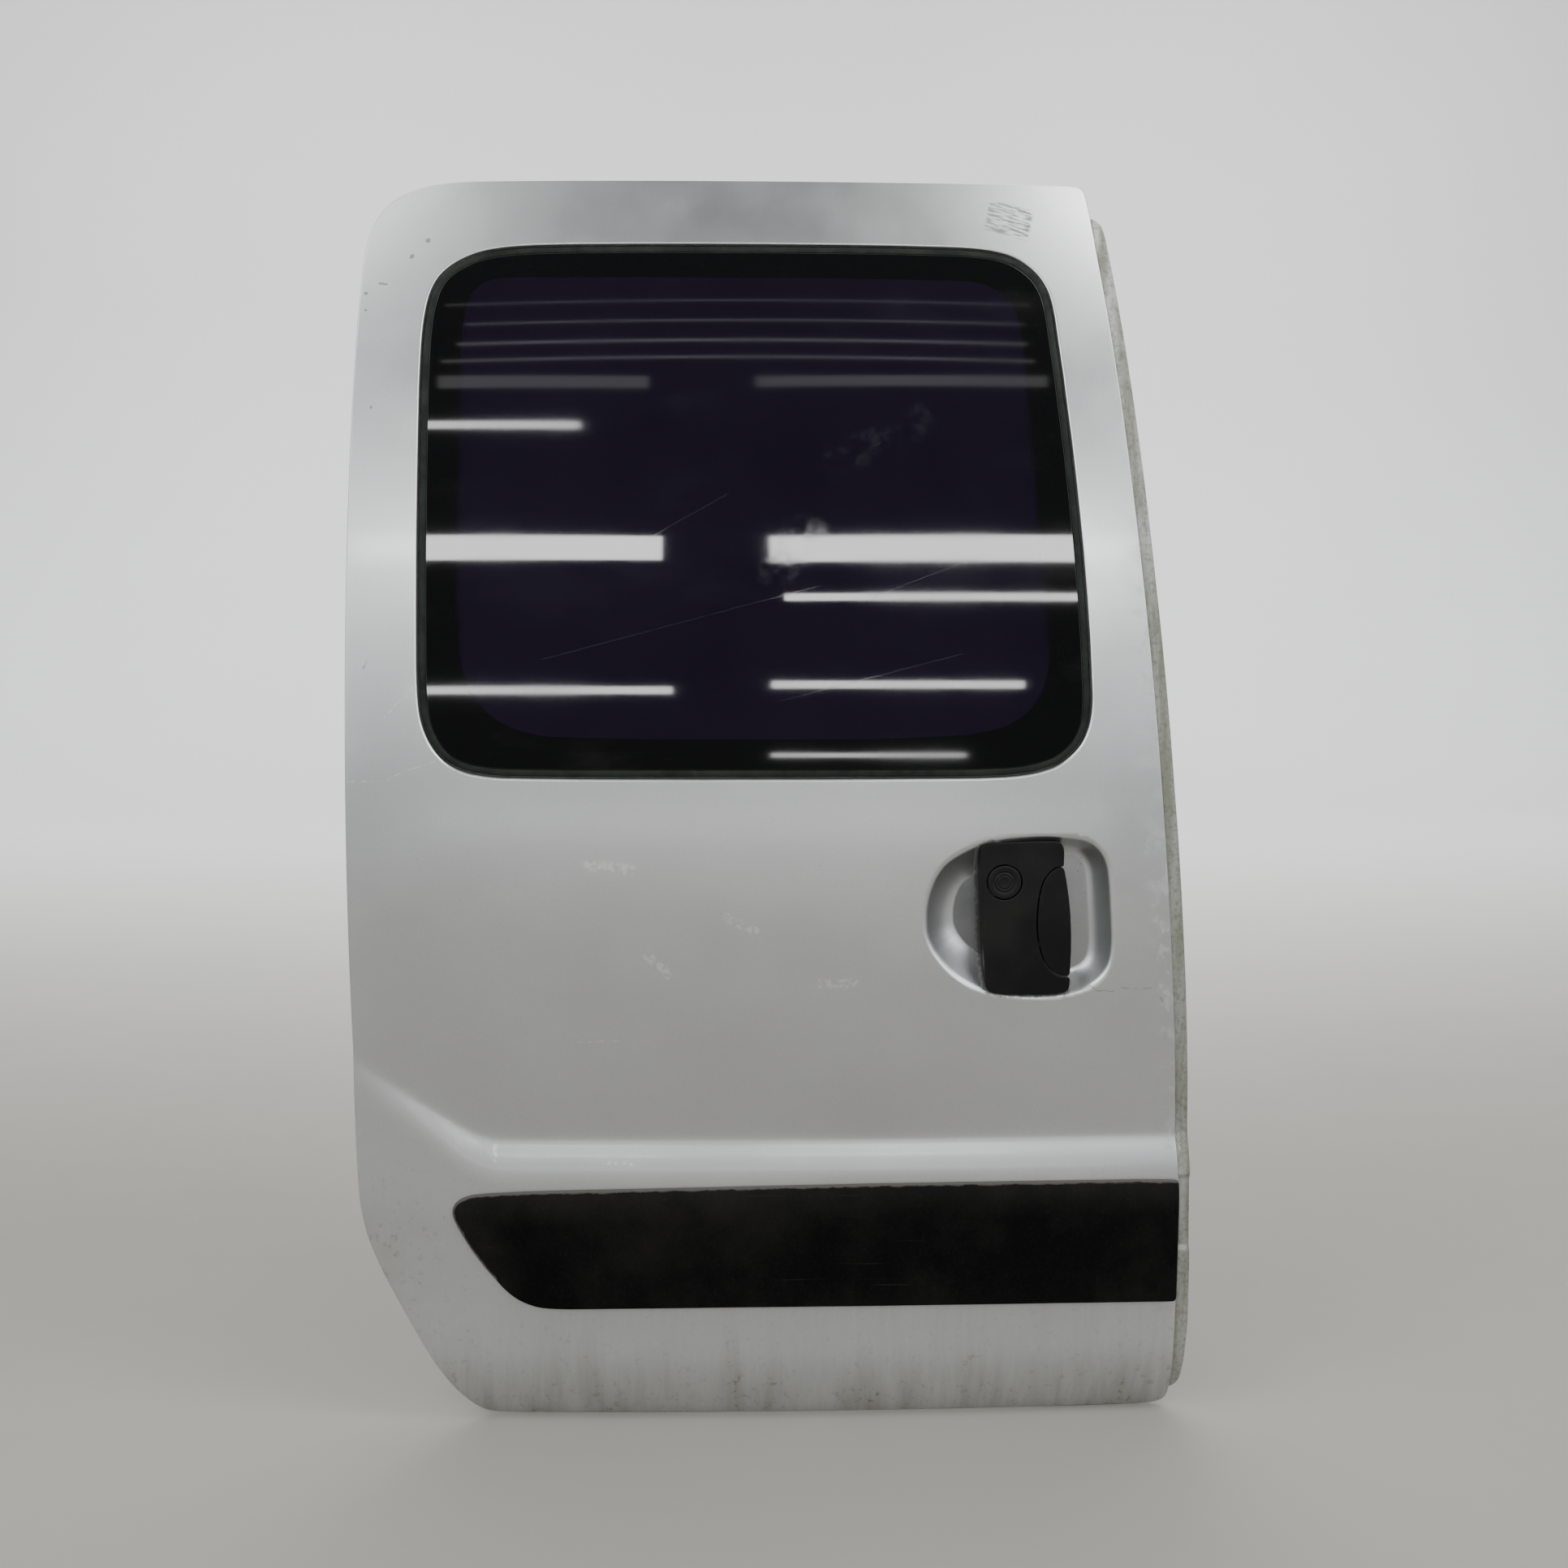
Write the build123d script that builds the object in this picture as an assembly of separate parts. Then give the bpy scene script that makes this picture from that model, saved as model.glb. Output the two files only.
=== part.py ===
"""Sliding side door of a compact van: outer skin, glass, pull handle, lower
moulding, inner pan, locks, roller arms and trim.  Millimetres.
Frame: +X towards the front edge of the door, +Y into the vehicle, +Z up.
Origin: middle of the flat inward face of the centre hinge plate."""
import math
import os
from build123d import *

# ---------------------------------------------------------------- dimensions
SKIN_T = 1.2            # outer sheet
PAN_T = 1.2             # inner sheet
PAN_DEPTH = 36.0        # outer surface to the inner face of the pan
GLASS_T = 4.0
GLASS_SINK = 1.0        # glass face behind the skin surface
SEAL_OUT, SEAL_IN = 2.0, 8.5     # window seal band, measured in from the aperture
GLASS_IN = 8.8
DISH_DEPTH = 22.0       # hand recess floor below the skin surface
HANDLE_PROUD = 2.5      # handle face in front of the skin surface
LEVER_T = 7.0
LEVER_GAP = 1.2
PIN_R = 1.25            # lever pivot pin
PIN_X, PIN_Y, PIN_Z, PIN_HALF = 637.6, -48.4, -68.0, 24.0
LOCK_X, LOCK_Z, LOCK_R = 601.7, -27.2, 16.5
MOULD_PROUD = 7.0
FLANGE_BACK = 3.0       # front strip behind the skin surface
CROWN_X, CROWN_R = 375.4, 7488.0
BULGE_Z, BULGE_Y, TUMBLE_R = -55.0, -53.0, 1690.0   # widest point of the upper panel and its side arc
SHOULDER_Z = -292.4     # break line above the flare
PANEL_TOP_Z = -338.4    # flare arc ends on the upright lower panel
LOW_Y = -48.84          # outer surface of the lower panel on the crown line
SHOULDER_Y = BULGE_Y + TUMBLE_R - math.sqrt(TUMBLE_R ** 2 - (SHOULDER_Z - BULGE_Z) ** 2)
FLARE_R = ((SHOULDER_Z - PANEL_TOP_Z) ** 2 + (SHOULDER_Y - LOW_Y) ** 2) / (2 * (SHOULDER_Y - LOW_Y))
TUCK_Z, TUCK_R = -509.0, 144.0                      # tuck-under at the bottom edge
LOW_END, HIGH_END = -630.0, 740.0                   # trimmed by the outline
HINGE_W, HINGE_H = 54.0, 120.0
HINGE_BOLT_X, HINGE_BOLT_Z, HINGE_HOLE_R = 30.0, 84.0, 4.25
UP_ROLL_R, UP_ROLL_L, UP_AXLE_R = 11.0, 12.0, 4.0
LOW_ROLL_R, LOW_ROLL_L, LOW_AXLE_R = 12.0, 12.0, 4.0
LOAD_ROLL_R, LOAD_ROLL_L = 14.0, 12.0
RUN = 0.05              # radial running clearance on axles and the lever pin

OUT = os.path.join(os.path.dirname(os.path.abspath(__file__)), "parts")
os.makedirs(OUT, exist_ok=True)


# ------------------------------------------------------------ outer surface
# side profile on the crown line: tumblehome arc, shoulder arc, upright panel, tuck-under arc
def prof_y(z):
    if z >= SHOULDER_Z:
        return BULGE_Y + TUMBLE_R - math.sqrt(TUMBLE_R ** 2 - (z - BULGE_Z) ** 2)
    if z >= PANEL_TOP_Z:
        return LOW_Y + FLARE_R - math.sqrt(FLARE_R ** 2 - (z - PANEL_TOP_Z) ** 2)
    if z >= TUCK_Z:
        return LOW_Y
    return LOW_Y + TUCK_R - math.sqrt(TUCK_R ** 2 - (z - TUCK_Z) ** 2)


def profile(dy):
    """Edges of the side profile, bottom to top, moved dy inwards."""
    def v(z):
        return (CROWN_X, prof_y(z) + dy, z)
    return [ThreePointArc(v(LOW_END), v((LOW_END + TUCK_Z) / 2), v(TUCK_Z)),
            Line(v(TUCK_Z), v(PANEL_TOP_Z)),
            ThreePointArc(v(PANEL_TOP_Z), v((PANEL_TOP_Z + SHOULDER_Z) / 2), v(SHOULDER_Z)),
            ThreePointArc(v(SHOULDER_Z), v((SHOULDER_Z + HIGH_END) / 2), v(HIGH_END))]


AXIS = Axis((CROWN_X, CROWN_R - 45.0, 0), (0, 0, 1))


def sheet(a, t):
    """Slab following the outer surface, from a to a + t behind it."""
    lo, hi = LOW_END, HIGH_END
    e = profile(a) + profile(a + t)
    e.append(Line((CROWN_X, prof_y(lo) + a, lo), (CROWN_X, prof_y(lo) + a + t, lo)))
    e.append(Line((CROWN_X, prof_y(hi) + a, hi), (CROWN_X, prof_y(hi) + a + t, hi)))
    f = Face(Wire(e))
    s = revolve(f.rotate(AXIS, -4.2), AXIS, 8.4)
    return s


def outline(pts, radii=None):
    """Closed face in the XZ plane; radii is one corner radius a point."""
    sk = make_face(Polyline(*pts, close=True))
    if radii:
        for (x, z), r in zip(pts, radii):
            if r:
                v = sk.vertices().sort_by_distance((x, z, 0))[0]
                sk = fillet(v, r)
    return sk


def smooth(pts):
    return make_face(Spline(*pts, periodic=True))


def prism(sk, y0=-320.0, y1=420.0):
    s = extrude(Plane.XZ * sk, amount=-(y1 - y0))
    return s.moved(Location((0, y0, 0)))


def rect(x0, x1, z0, z1, r=0.0):
    return outline([(x0, z0), (x1, z0), (x1, z1), (x0, z1)], [r] * 4 if r else None)


def one(s):
    """A single clean solid."""
    if isinstance(s, Solid):
        return s
    sols = s.solids()
    return max(sols, key=lambda k: k.volume)


def ydisc(x, z, r, y0, y1):
    """Cylinder along Y."""
    return Location((x, (y0 + y1) / 2, z), (90, 0, 0)) * Cylinder(r, y1 - y0)


def zrod(x, y, r, z0, z1):
    return Location((x, y, (z0 + z1) / 2)) * Cylinder(r, z1 - z0)


def block(x0, x1, y0, y1, z0, z1):
    return Location(((x0 + x1) / 2, (y0 + y1) / 2, (z0 + z1) / 2)) * Box(x1 - x0, y1 - y0, z1 - z0)


# ------------------------------------------------------------------ outlines
SKIN = outline(
    [(-43.5, 680.3), (700.3, 680.3), (714.2, 553.2), (733.6, 352.7), (754.5, 113.2),
     (770.6, -80.3), (785.6, -285.9), (788.4, -460.0), (786.6, -585.2),
     (68.0, -585.2), (-42.0, -382.0)],
    [94, 10, 900, 900, 900, 900, 500, 900, 12, 38, 180])
APER = outline(
    [(22.6, 608.4), (653.0, 608.4), (668.9, 442.3), (676.3, 352.3), (685.7, 208.5),
     (690.0, 74.6), (28.2, 74.6)],
    [94, 78, 800, 800, 800, 80, 78])
DISH_PTS = [(523.0, -53.3), (526.0, -37.2), (531.5, -22.8), (539.3, -10.8), (555.2, 1.2), (571.2, 9.1), (587.2, 13.8),
            (611.0, 16.4), (635.4, 17.1), (660.0, 16.3), (679.8, 14.0), (696.2, 4.2), (705.4, -14.4), (708.2, -40.0),
            (709.8, -63.1), (711.2, -88.0), (707.3, -114.1), (697.1, -128.1), (683.5, -136.6), (663.2, -141.0),
            (638.8, -143.6), (606.2, -142.7), (583.3, -137.9), (565.3, -130.2), (548.9, -118.1), (532.5, -99.0),
            (523.7, -77.7)]


def inset(pts, d):
    """Points moved d inwards, square to the local run of the closed curve."""
    n = len(pts)
    area = sum(pts[i][0] * pts[(i + 1) % n][1] - pts[(i + 1) % n][0] * pts[i][1] for i in range(n))
    s = 1.0 if area > 0 else -1.0
    out = []
    for i in range(n):
        ax, az = pts[i - 1]
        bx, bz = pts[(i + 1) % n]
        tx, tz = bx - ax, bz - az
        m = math.hypot(tx, tz)
        out.append((pts[i][0] - s * tz / m * d, pts[i][1] + s * tx / m * d))
    return out


skin_p = prism(SKIN)
aper_p = prism(APER)


def skin_in(d):
    return prism(offset(SKIN, amount=-d, kind=Kind.ARC) if d > 0 else SKIN)


def aper_off(d):
    """Aperture grown (+) or shrunk (-)."""
    return prism(offset(APER, amount=d, kind=Kind.ARC))


parts = {}

# ------------------------------------------------------------- outer shell
dish_hole = prism(smooth(DISH_PTS))
parts["outer_skin"] = sheet(0, SKIN_T) & skin_p - aper_p - dish_hole

dish_a, dish_b = prism(smooth(inset(DISH_PTS, 0.4))), prism(smooth(inset(DISH_PTS, 1.6)))
parts["handle_dish"] = (sheet(0.2, DISH_DEPTH + 1.0) & (dish_a - dish_b)) + (sheet(DISH_DEPTH, 1.2) & dish_a)

# ---------------------------------------------------------------- inner pan
pan_lip = skin_in(2.0) - skin_in(15.4)
pan = (sheet(1.5, PAN_T) & pan_lip) \
    + (sheet(1.5, PAN_DEPTH - 1.5) & (skin_in(14.0) - skin_in(15.4))) \
    + (sheet(PAN_DEPTH - PAN_T, PAN_T) & (skin_in(14.0) - aper_off(9.0))) \
    + (sheet(11.3, PAN_DEPTH - 11.3) & (aper_off(10.2) - aper_off(9.0))) \
    + (sheet(11.3, PAN_T) & (aper_off(10.2) - aper_off(-26.0)))
for sx in (-1, 1):
    for sz in (-1, 1):
        # clearance for the ends of the hinge screws
        pan -= ydisc(sx * HINGE_BOLT_X / 2, sz * HINGE_BOLT_Z / 2, HINGE_HOLE_R + 1.5, -30, 20)
parts["inner_panel"] = pan

# -------------------------------------------------------------- front strip
STRIP_OUT = [(704.8, 644.6), (717.7, 634.8), (727.0, 562.1), (738.0, 451.4), (754.9, 256.3), (771.5, 65.4),
             (784.2, -80.5), (796.0, -233.0), (800.4, -350.0), (802.4, -470.0), (798.4, -552.0), (788.0, -564.2)]
STRIP_IN = [(694.0, 644.6), (703.5, 553.0), (723.0, 352.0), (744.0, 113.0), (760.0, -80.0), (775.0, -286.0),
            (778.0, -460.0), (777.0, -564.2)]


def at_z(line, z):
    for (xa, za), (xb, zb) in zip(line, line[1:]):
        if za >= z >= zb:
            return (xa + (xb - xa) * (za - z) / (za - zb), z)


def strip(z1, z0):
    """Part of the front strip between two heights."""
    o = [at_z(STRIP_OUT, z1)] + [p for p in STRIP_OUT if z0 < p[1] < z1] + [at_z(STRIP_OUT, z0)]
    i = [at_z(STRIP_IN, z1)] + [p for p in STRIP_IN if z0 < p[1] < z1] + [at_z(STRIP_IN, z0)]
    return prism(outline(o + i[::-1]))


parts["front_flange"] = sheet(FLANGE_BACK, 1.2) & strip(644.6, -564.2)

# ------------------------------------------------------------------- window
parts["window_glass"] = sheet(GLASS_SINK, GLASS_T) & aper_off(-GLASS_IN)
parts["window_seal"] = sheet(0.8, 7.2) & (aper_off(-SEAL_OUT) - aper_off(-SEAL_IN))
parts["glass_bead"] = sheet(GLASS_SINK + GLASS_T + 0.3, 5.7) & (aper_off(-12.0) - aper_off(-22.0))

# ------------------------------------------------------------------- handle
BODY_PTS = [(577.6, 5.8), (579.4, -37.6), (581.8, -86.3), (584.1, -119.2), (586.6, -134.4), (594.2, -137.6),
            (606.1, -139.0), (622.4, -140.0), (655.0, -139.6), (664.6, -138.2), (668.4, -135.4), (669.4, -128.0),
            (669.4, -111.9), (669.8, -95.4), (669.4, -79.0), (668.0, -58.6), (666.0, -42.3), (663.4, -26.1),
            (660.8, -14.0), (660.2, 1.6), (658.6, 8.8), (653.9, 12.2), (635.4, 12.6), (603.2, 11.8), (584.0, 10.0)]
LEVER_PTS = [(659.2, -12.4), (651.9, -13.9), (646.4, -18.7), (641.6, -25.1), (638.5, -34.0), (636.3, -46.1),
             (635.4, -58.3), (635.2, -70.5), (636.3, -82.8), (638.1, -91.0), (640.9, -101.7), (645.1, -110.0),
             (651.0, -116.7), (658.5, -120.9), (668.3, -122.7), (669.6, -111.9), (670.0, -95.4), (669.6, -79.0),
             (668.2, -58.6), (666.2, -42.3), (663.5, -26.1), (660.8, -14.0)]
POCKET_PTS = inset(LEVER_PTS, -LEVER_GAP)[:15] + [(680.0, -124.2), (680.0, -11.0)]
lever_p = prism(outline(LEVER_PTS))
pocket_p = prism(outline(POCKET_PTS))
pin_bore = zrod(PIN_X, PIN_Y, PIN_R + RUN, -160, 30)
pin_solid = zrod(PIN_X, PIN_Y, PIN_R, PIN_Z - PIN_HALF, PIN_Z + PIN_HALF)
lock_seat = ydisc(LOCK_X, LOCK_Z, LOCK_R + 0.5, -70, -42)
body_full = sheet(-HANDLE_PROUD, HANDLE_PROUD + DISH_DEPTH - 0.3) & prism(outline(BODY_PTS))
body_pocket = sheet(-HANDLE_PROUD - 5, HANDLE_PROUD + 5 + DISH_DEPTH - 3.3) & pocket_p
parts["handle_body"] = body_full - body_pocket - pin_solid - lock_seat
parts["handle_lever"] = (sheet(-HANDLE_PROUD, LEVER_T) & lever_p) - pin_bore
parts["lever_pin"] = pin_solid
parts["lock_blank"] = ydisc(LOCK_X, LOCK_Z, LOCK_R, -53.4, -42.2)

# ----------------------------------------------------------------- moulding
MOULD = outline(
    [(788.0, -335.4), (676.0, -333.2), (413.0, -334.2), (153.0, -339.8), (52.0, -343.6), (53.5, -368.0),
     (115.0, -461.6), (413.0, -459.2), (788.6, -462.6)],
    [3, 0, 0, 0, 12, 10, 45, 0, 3])
parts["lower_moulding"] = sheet(-MOULD_PROUD, MOULD_PROUD - 0.3) & prism(MOULD)


# ------------------------------------------------------- inner side fittings
def pad(sk, y1, a=PAN_DEPTH + 0.3):
    """Block on the pan's inner face up to the flat plane y1."""
    return prism(sk, -200, y1) - sheet(-200, 200 + a)


hinge = pad(rect(-HINGE_W / 2, HINGE_W / 2, -HINGE_H / 2, HINGE_H / 2, 6), 0.0)
for sx in (-1, 1):
    for sz in (-1, 1):
        hinge -= ydisc(sx * HINGE_BOLT_X / 2, sz * HINGE_BOLT_Z / 2, HINGE_HOLE_R, -40, 20)
parts["centre_hinge_plate"] = hinge

# upper arm with its vertical guide roller
ux, uy = 640.0, 206.0
parts["upper_arm"] = (sheet(PAN_DEPTH + 0.3, 3.0) & prism(rect(596, 684, 626, 660, 5))) \
    + block(624, 656, 141.6, 218, 640, 644)
parts["upper_axle"] = zrod(ux, uy, UP_AXLE_R, 644, 662)
parts["upper_roller"] = zrod(ux, uy, UP_ROLL_R, 647, 647 + UP_ROLL_L) - zrod(ux, uy, UP_AXLE_R + RUN, 640, 670)

# lower arm with one guide roller and one load roller
lx, ly = 690.0, 104.0
qx, qz = 734.0, -519.0
parts["lower_arm"] = (sheet(PAN_DEPTH + 0.3, 4.0) & prism(rect(660, 764, -562, -494, 6))) \
    + block(672, 748, 1.7, 124, -545, -540) + block(720, 748, 96, 101, -540.5, -498)
parts["lower_guide_axle"] = zrod(lx, ly, LOW_AXLE_R, -540, -522)
parts["lower_guide_roller"] = zrod(lx, ly, LOW_ROLL_R, -537, -537 + LOW_ROLL_L) - zrod(lx, ly, LOW_AXLE_R + RUN, -545, -515)
parts["lower_load_axle"] = ydisc(qx, qz, LOW_AXLE_R, 101, 119)
parts["lower_load_roller"] = ydisc(qx, qz, LOAD_ROLL_R, 104, 104 + LOAD_ROLL_L) - ydisc(qx, qz, LOW_AXLE_R + RUN, 96, 124)


# locks at both edges, each with its fork
def lock(x0, x1, z0, z1, y1, open_right):
    b = pad(rect(x0, x1, z0, z1, 4), y1)
    zc = (z0 + z1) / 2
    if open_right:
        slot = block(x1 - 26, x1 + 5, y1 - 14, y1 + 5, zc - 8, zc + 8)
    else:
        slot = block(x0 - 5, x0 + 26, y1 - 14, y1 + 5, zc - 8, zc + 8)
    return b - slot


parts["front_latch"] = lock(694, 746, -100, -20, 13.0, True)
parts["front_latch_claw"] = ydisc(728, -60, 7.4, -0.6, 4.4)
parts["rear_latch"] = lock(-26, 30, -236, -156, 10.0, False)
parts["rear_latch_claw"] = ydisc(-10, -196, 7.4, -3.6, 1.4)

# trim card, inner handle, stops
TRIM = outline([(46, 40), (676, 40), (680, -160), (690, -300), (640, -470), (120, -470), (46, -330)],
               [24, 24, 0, 30, 40, 60, 60])
parts["inner_trim"] = sheet(PAN_DEPTH + 0.4, 3.0) & prism(TRIM)
parts["inner_handle_bezel"] = sheet(PAN_DEPTH + 3.8, 9.0) & \
    (prism(rect(540, 652, -46, 20, 10)) - prism(rect(550, 642, -36, 10, 6)))
parts["inner_handle"] = sheet(PAN_DEPTH + 3.8, 6.0) & prism(rect(553, 632, -30, 4, 5))
parts["bump_stop_upper"] = sheet(PAN_DEPTH + 0.3, 12.0) & prism(Location((-8, 430)) * Circle(10))
parts["bump_stop_lower"] = sheet(PAN_DEPTH + 0.3, 12.0) & prism(Location((0, -282)) * Circle(10))
parts["guide_block"] = sheet(PAN_DEPTH + 0.3, 16.0) & prism(rect(712, 752, -262, -214, 4))

for name, s in parts.items():
    export_step(one(s), os.path.join(OUT, name + ".step"))
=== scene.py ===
import bpy, math
import numpy as np
from mathutils import Vector, Matrix
from mathutils.geometry import delaunay_2d_cdt


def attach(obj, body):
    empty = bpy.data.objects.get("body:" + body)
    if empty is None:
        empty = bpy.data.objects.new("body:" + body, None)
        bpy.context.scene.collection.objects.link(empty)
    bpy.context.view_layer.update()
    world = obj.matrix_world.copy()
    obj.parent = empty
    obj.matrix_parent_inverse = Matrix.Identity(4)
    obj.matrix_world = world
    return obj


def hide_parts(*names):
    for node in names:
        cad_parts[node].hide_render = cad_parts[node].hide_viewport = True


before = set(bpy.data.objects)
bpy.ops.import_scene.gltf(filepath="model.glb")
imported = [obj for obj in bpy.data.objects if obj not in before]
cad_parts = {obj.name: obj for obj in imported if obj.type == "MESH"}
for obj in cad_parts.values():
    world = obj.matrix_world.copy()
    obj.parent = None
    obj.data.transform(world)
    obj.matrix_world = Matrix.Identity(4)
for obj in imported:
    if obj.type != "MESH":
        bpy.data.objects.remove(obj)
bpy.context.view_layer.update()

# ------------------------------------------------------------------ camera facts (mm, door frame)
CAM = np.array([348.0, -1555.77, 236.42])
FPX, CPX = 1920.0, 966.0
_al, _ps, _ro = 0.11, math.radians(1.4), math.radians(0.13)
FW = np.array([math.sin(_ps) * math.cos(_al), math.cos(_ps) * math.cos(_al), -math.sin(_al)])
_r0 = np.array([math.cos(_ps), -math.sin(_ps), 0.0])
_u0 = np.cross(_r0, FW)
RT = math.cos(_ro) * _r0 + math.sin(_ro) * _u0
UP = -math.sin(_ro) * _r0 + math.cos(_ro) * _u0

# ------------------------------------------------------------------ outer surface (mm)
LOW = -48.84


def tumble(z):
    return -53.0 + 1690.0 - np.sqrt(1690.0 ** 2 - (z + 55.0) ** 2)


def S(x, z):
    x = np.asarray(x, float)
    z = np.asarray(z, float)
    t = np.maximum(106.6 - x, 0.0)
    zs = -292.4 + np.where(t < 48, 0.7 * t * t / 96.0, 0.7 * (t - 24.0))
    e = zs - z
    es = 0.5 * (e + np.sqrt(e * e + 36.0))
    d = tumble(zs) - LOW
    W = 46.0
    R = (W * W + d * d) / (2 * d)
    q = np.clip(W - es, 0, W)
    y = tumble(z + es) - (d - (R - np.sqrt(R * R - q * q)))
    k = np.minimum(np.maximum(-509.0 - z, 0.0), 140.0)
    return y + 144.0 - np.sqrt(144.0 ** 2 - k * k) + (x - 375.4) ** 2 / (2 * 7488.0)


def normal_of(fun, x, z, h=1.0):
    """Outward (-Y side) normals of y = fun(x, z)."""
    gx = (fun(x + h, z) - fun(x - h, z)) / (2 * h)
    gz = (fun(x, z + h) - fun(x, z - h)) / (2 * h)
    n = np.stack([gx, -np.ones_like(gx), gz], 1)
    return n / np.linalg.norm(n, axis=1)[:, None]


def ray_hit(px, py, off=0.0):
    d = FW + (px - CPX) / FPX * RT - (py - CPX) / FPX * UP
    t = 1500.0
    for _ in range(80):
        p = CAM + t * d
        t += 0.8 * (float(S(p[0], p[2])) + off - p[1]) / d[1]
    return CAM + t * d


# ------------------------------------------------------------------ outlines (mm, x and z)
SKIN_PTS = [(46.8, 677.3), (63.5, 678.6), (113.9, 679.4), (164.3, 679.8), (248.1, 680.1), (348.8, 680.2), (449.7, 680.2),
    (551.2, 680.1), (653.4, 679.8), (680.0, 679.4), (690.0, 678.8), (695.4, 677.8), (698.8, 675.8), (700.6, 672.4), (701.8, 666.0), (704.7, 643.7), (708.4, 605.9), (714.2, 553.2),
    (719.6, 501.7), (724.5, 451.2), (729.1, 401.6), (733.5, 352.7), (737.9, 304.3), (742.1, 256.3), (746.3, 208.6),
    (750.4, 160.9), (754.5, 113.2), (758.5, 65.4), (762.5, 17.3), (766.6, -31.2), (770.6, -80.3), (774.5, -130.1),
    (778.4, -180.8), (782.0, -232.7), (785.0, -285.9), (786.9, -332.7), (787.8, -384.0), (788.1, -435.7), (787.8, -487.8),
    (786.8, -542.1), (786.2, -566.0), (784.9, -575.5), (780.2, -581.2), (772.1, -584.0), (755.0, -584.8), (654.2, -584.6),
    (524.5, -584.2), (331.5, -584.2), (201.1, -584.7), (114.1, -584.7), (90.0, -584.0), (77.5, -580.6), (68.3, -573.0),
    (56.9, -560.0), (50.2, -551.0), (42.7, -540.0), (32.1, -522.8), (21.8, -505.1), (12.6, -488.0), (3.7, -471.0),
    (-5.0, -453.9), (-13.6, -437.0), (-21.4, -420.0), (-28.4, -403.1), (-34.0, -386.2), (-37.7, -369.3), (-40.1, -352.4),
    (-41.2, -335.6), (-42.0, -310.3), (-42.5, -285.2), (-42.9, -235.3), (-43.1, -185.9), (-43.2, -86.4), (-43.2, 10.0),
    (-43.2, 105.0), (-43.2, 199.0), (-43.2, 294.0), (-43.2, 390.0), (-43.2, 440.0), (-43.0, 490.0), (-42.3, 540.0),
    (-40.7, 592.0), (-38.4, 609.4), (-36.6, 618.3), (-33.2, 628.4), (-26.5, 643.0), (-18.8, 652.6), (-10.8, 659.2),
    (-2.8, 664.2), (13.5, 671.2), (30.1, 675.2)]
APER_PTS = [(166.9, 607.3), (133.9, 606.4), (117.4, 605.5), (100.9, 603.9), (84.5, 601.1), (76.3, 598.9), (68.2, 595.8),
    (60.1, 591.9), (52.1, 587.1), (44.2, 580.8), (36.9, 572.7), (32.5, 564.5), (29.1, 555.0), (26.6, 543.8), (24.9, 531.0),
    (23.9, 518.2), (23.4, 505.6), (23.2, 488.8), (23.3, 455.5), (23.7, 439.0), (25.0, 357.8), (26.2, 278.2), (27.5, 175.9),
    (28.6, 152.4), (30.3, 136.7), (32.0, 128.9), (34.4, 121.0), (37.6, 113.2), (41.8, 105.4), (47.4, 97.5), (55.0, 89.9),
    (64.4, 84.4), (72.3, 81.3), (80.2, 79.0), (96.0, 76.5), (111.8, 75.2), (175.0, 74.5), (301.2, 74.5), (427.6, 74.6),
    (570.7, 75.0), (602.7, 76.1), (618.8, 77.7), (634.8, 80.6), (650.9, 85.7), (658.9, 90.2), (667.0, 96.7), (675.0, 105.0),
    (679.3, 111.9), (683.1, 120.6), (685.6, 129.3), (687.3, 141.2), (687.9, 153.1), (687.5, 161.0), (685.9, 208.5),
    (683.3, 256.1), (680.2, 304.0), (676.6, 352.3), (672.8, 401.1), (669.0, 442.3), (666.2, 475.6), (664.5, 492.4),
    (662.9, 509.4), (661.8, 522.2), (660.6, 535.0), (658.8, 547.9), (656.2, 559.2), (652.5, 567.8), (647.0, 577.4),
    (639.2, 585.6), (631.2, 592.1), (623.1, 597.0), (614.8, 600.5), (598.3, 604.4), (581.6, 606.2), (564.9, 607.1),
    (498.1, 608.2), (431.6, 608.4), (365.3, 608.4), (299.1, 608.3), (233.0, 608.0)]
FRIT_PTS = [(102.3, 572.0), (86.0, 568.7), (78.0, 563.5), (70.2, 554.0), (66.0, 539.5), (63.8, 522.4), (62.9, 505.5),
    (62.7, 488.7), (62.9, 439.0), (62.9, 357.8), (62.9, 278.2), (63.4, 246.7), (64.6, 230.0), (69.0, 191.7), (75.5, 166.6),
    (84.3, 150.8), (99.3, 134.4), (119.9, 122.9), (152.2, 115.0), (253.9, 113.0), (411.7, 113.0), (483.8, 113.4),
    (563.4, 116.9), (600.2, 123.8), (624.3, 138.1), (640.1, 161.8), (646.3, 189.5), (646.9, 222.7), (643.8, 267.9),
    (640.2, 314.2), (636.4, 376.3), (632.7, 441.9), (629.9, 475.2), (627.6, 500.0), (624.6, 525.0), (621.4, 538.8),
    (616.7, 549.6), (608.7, 559.2), (596.5, 566.1), (580.0, 570.2), (563.4, 571.6), (414.6, 572.6), (250.2, 572.5)]
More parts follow.
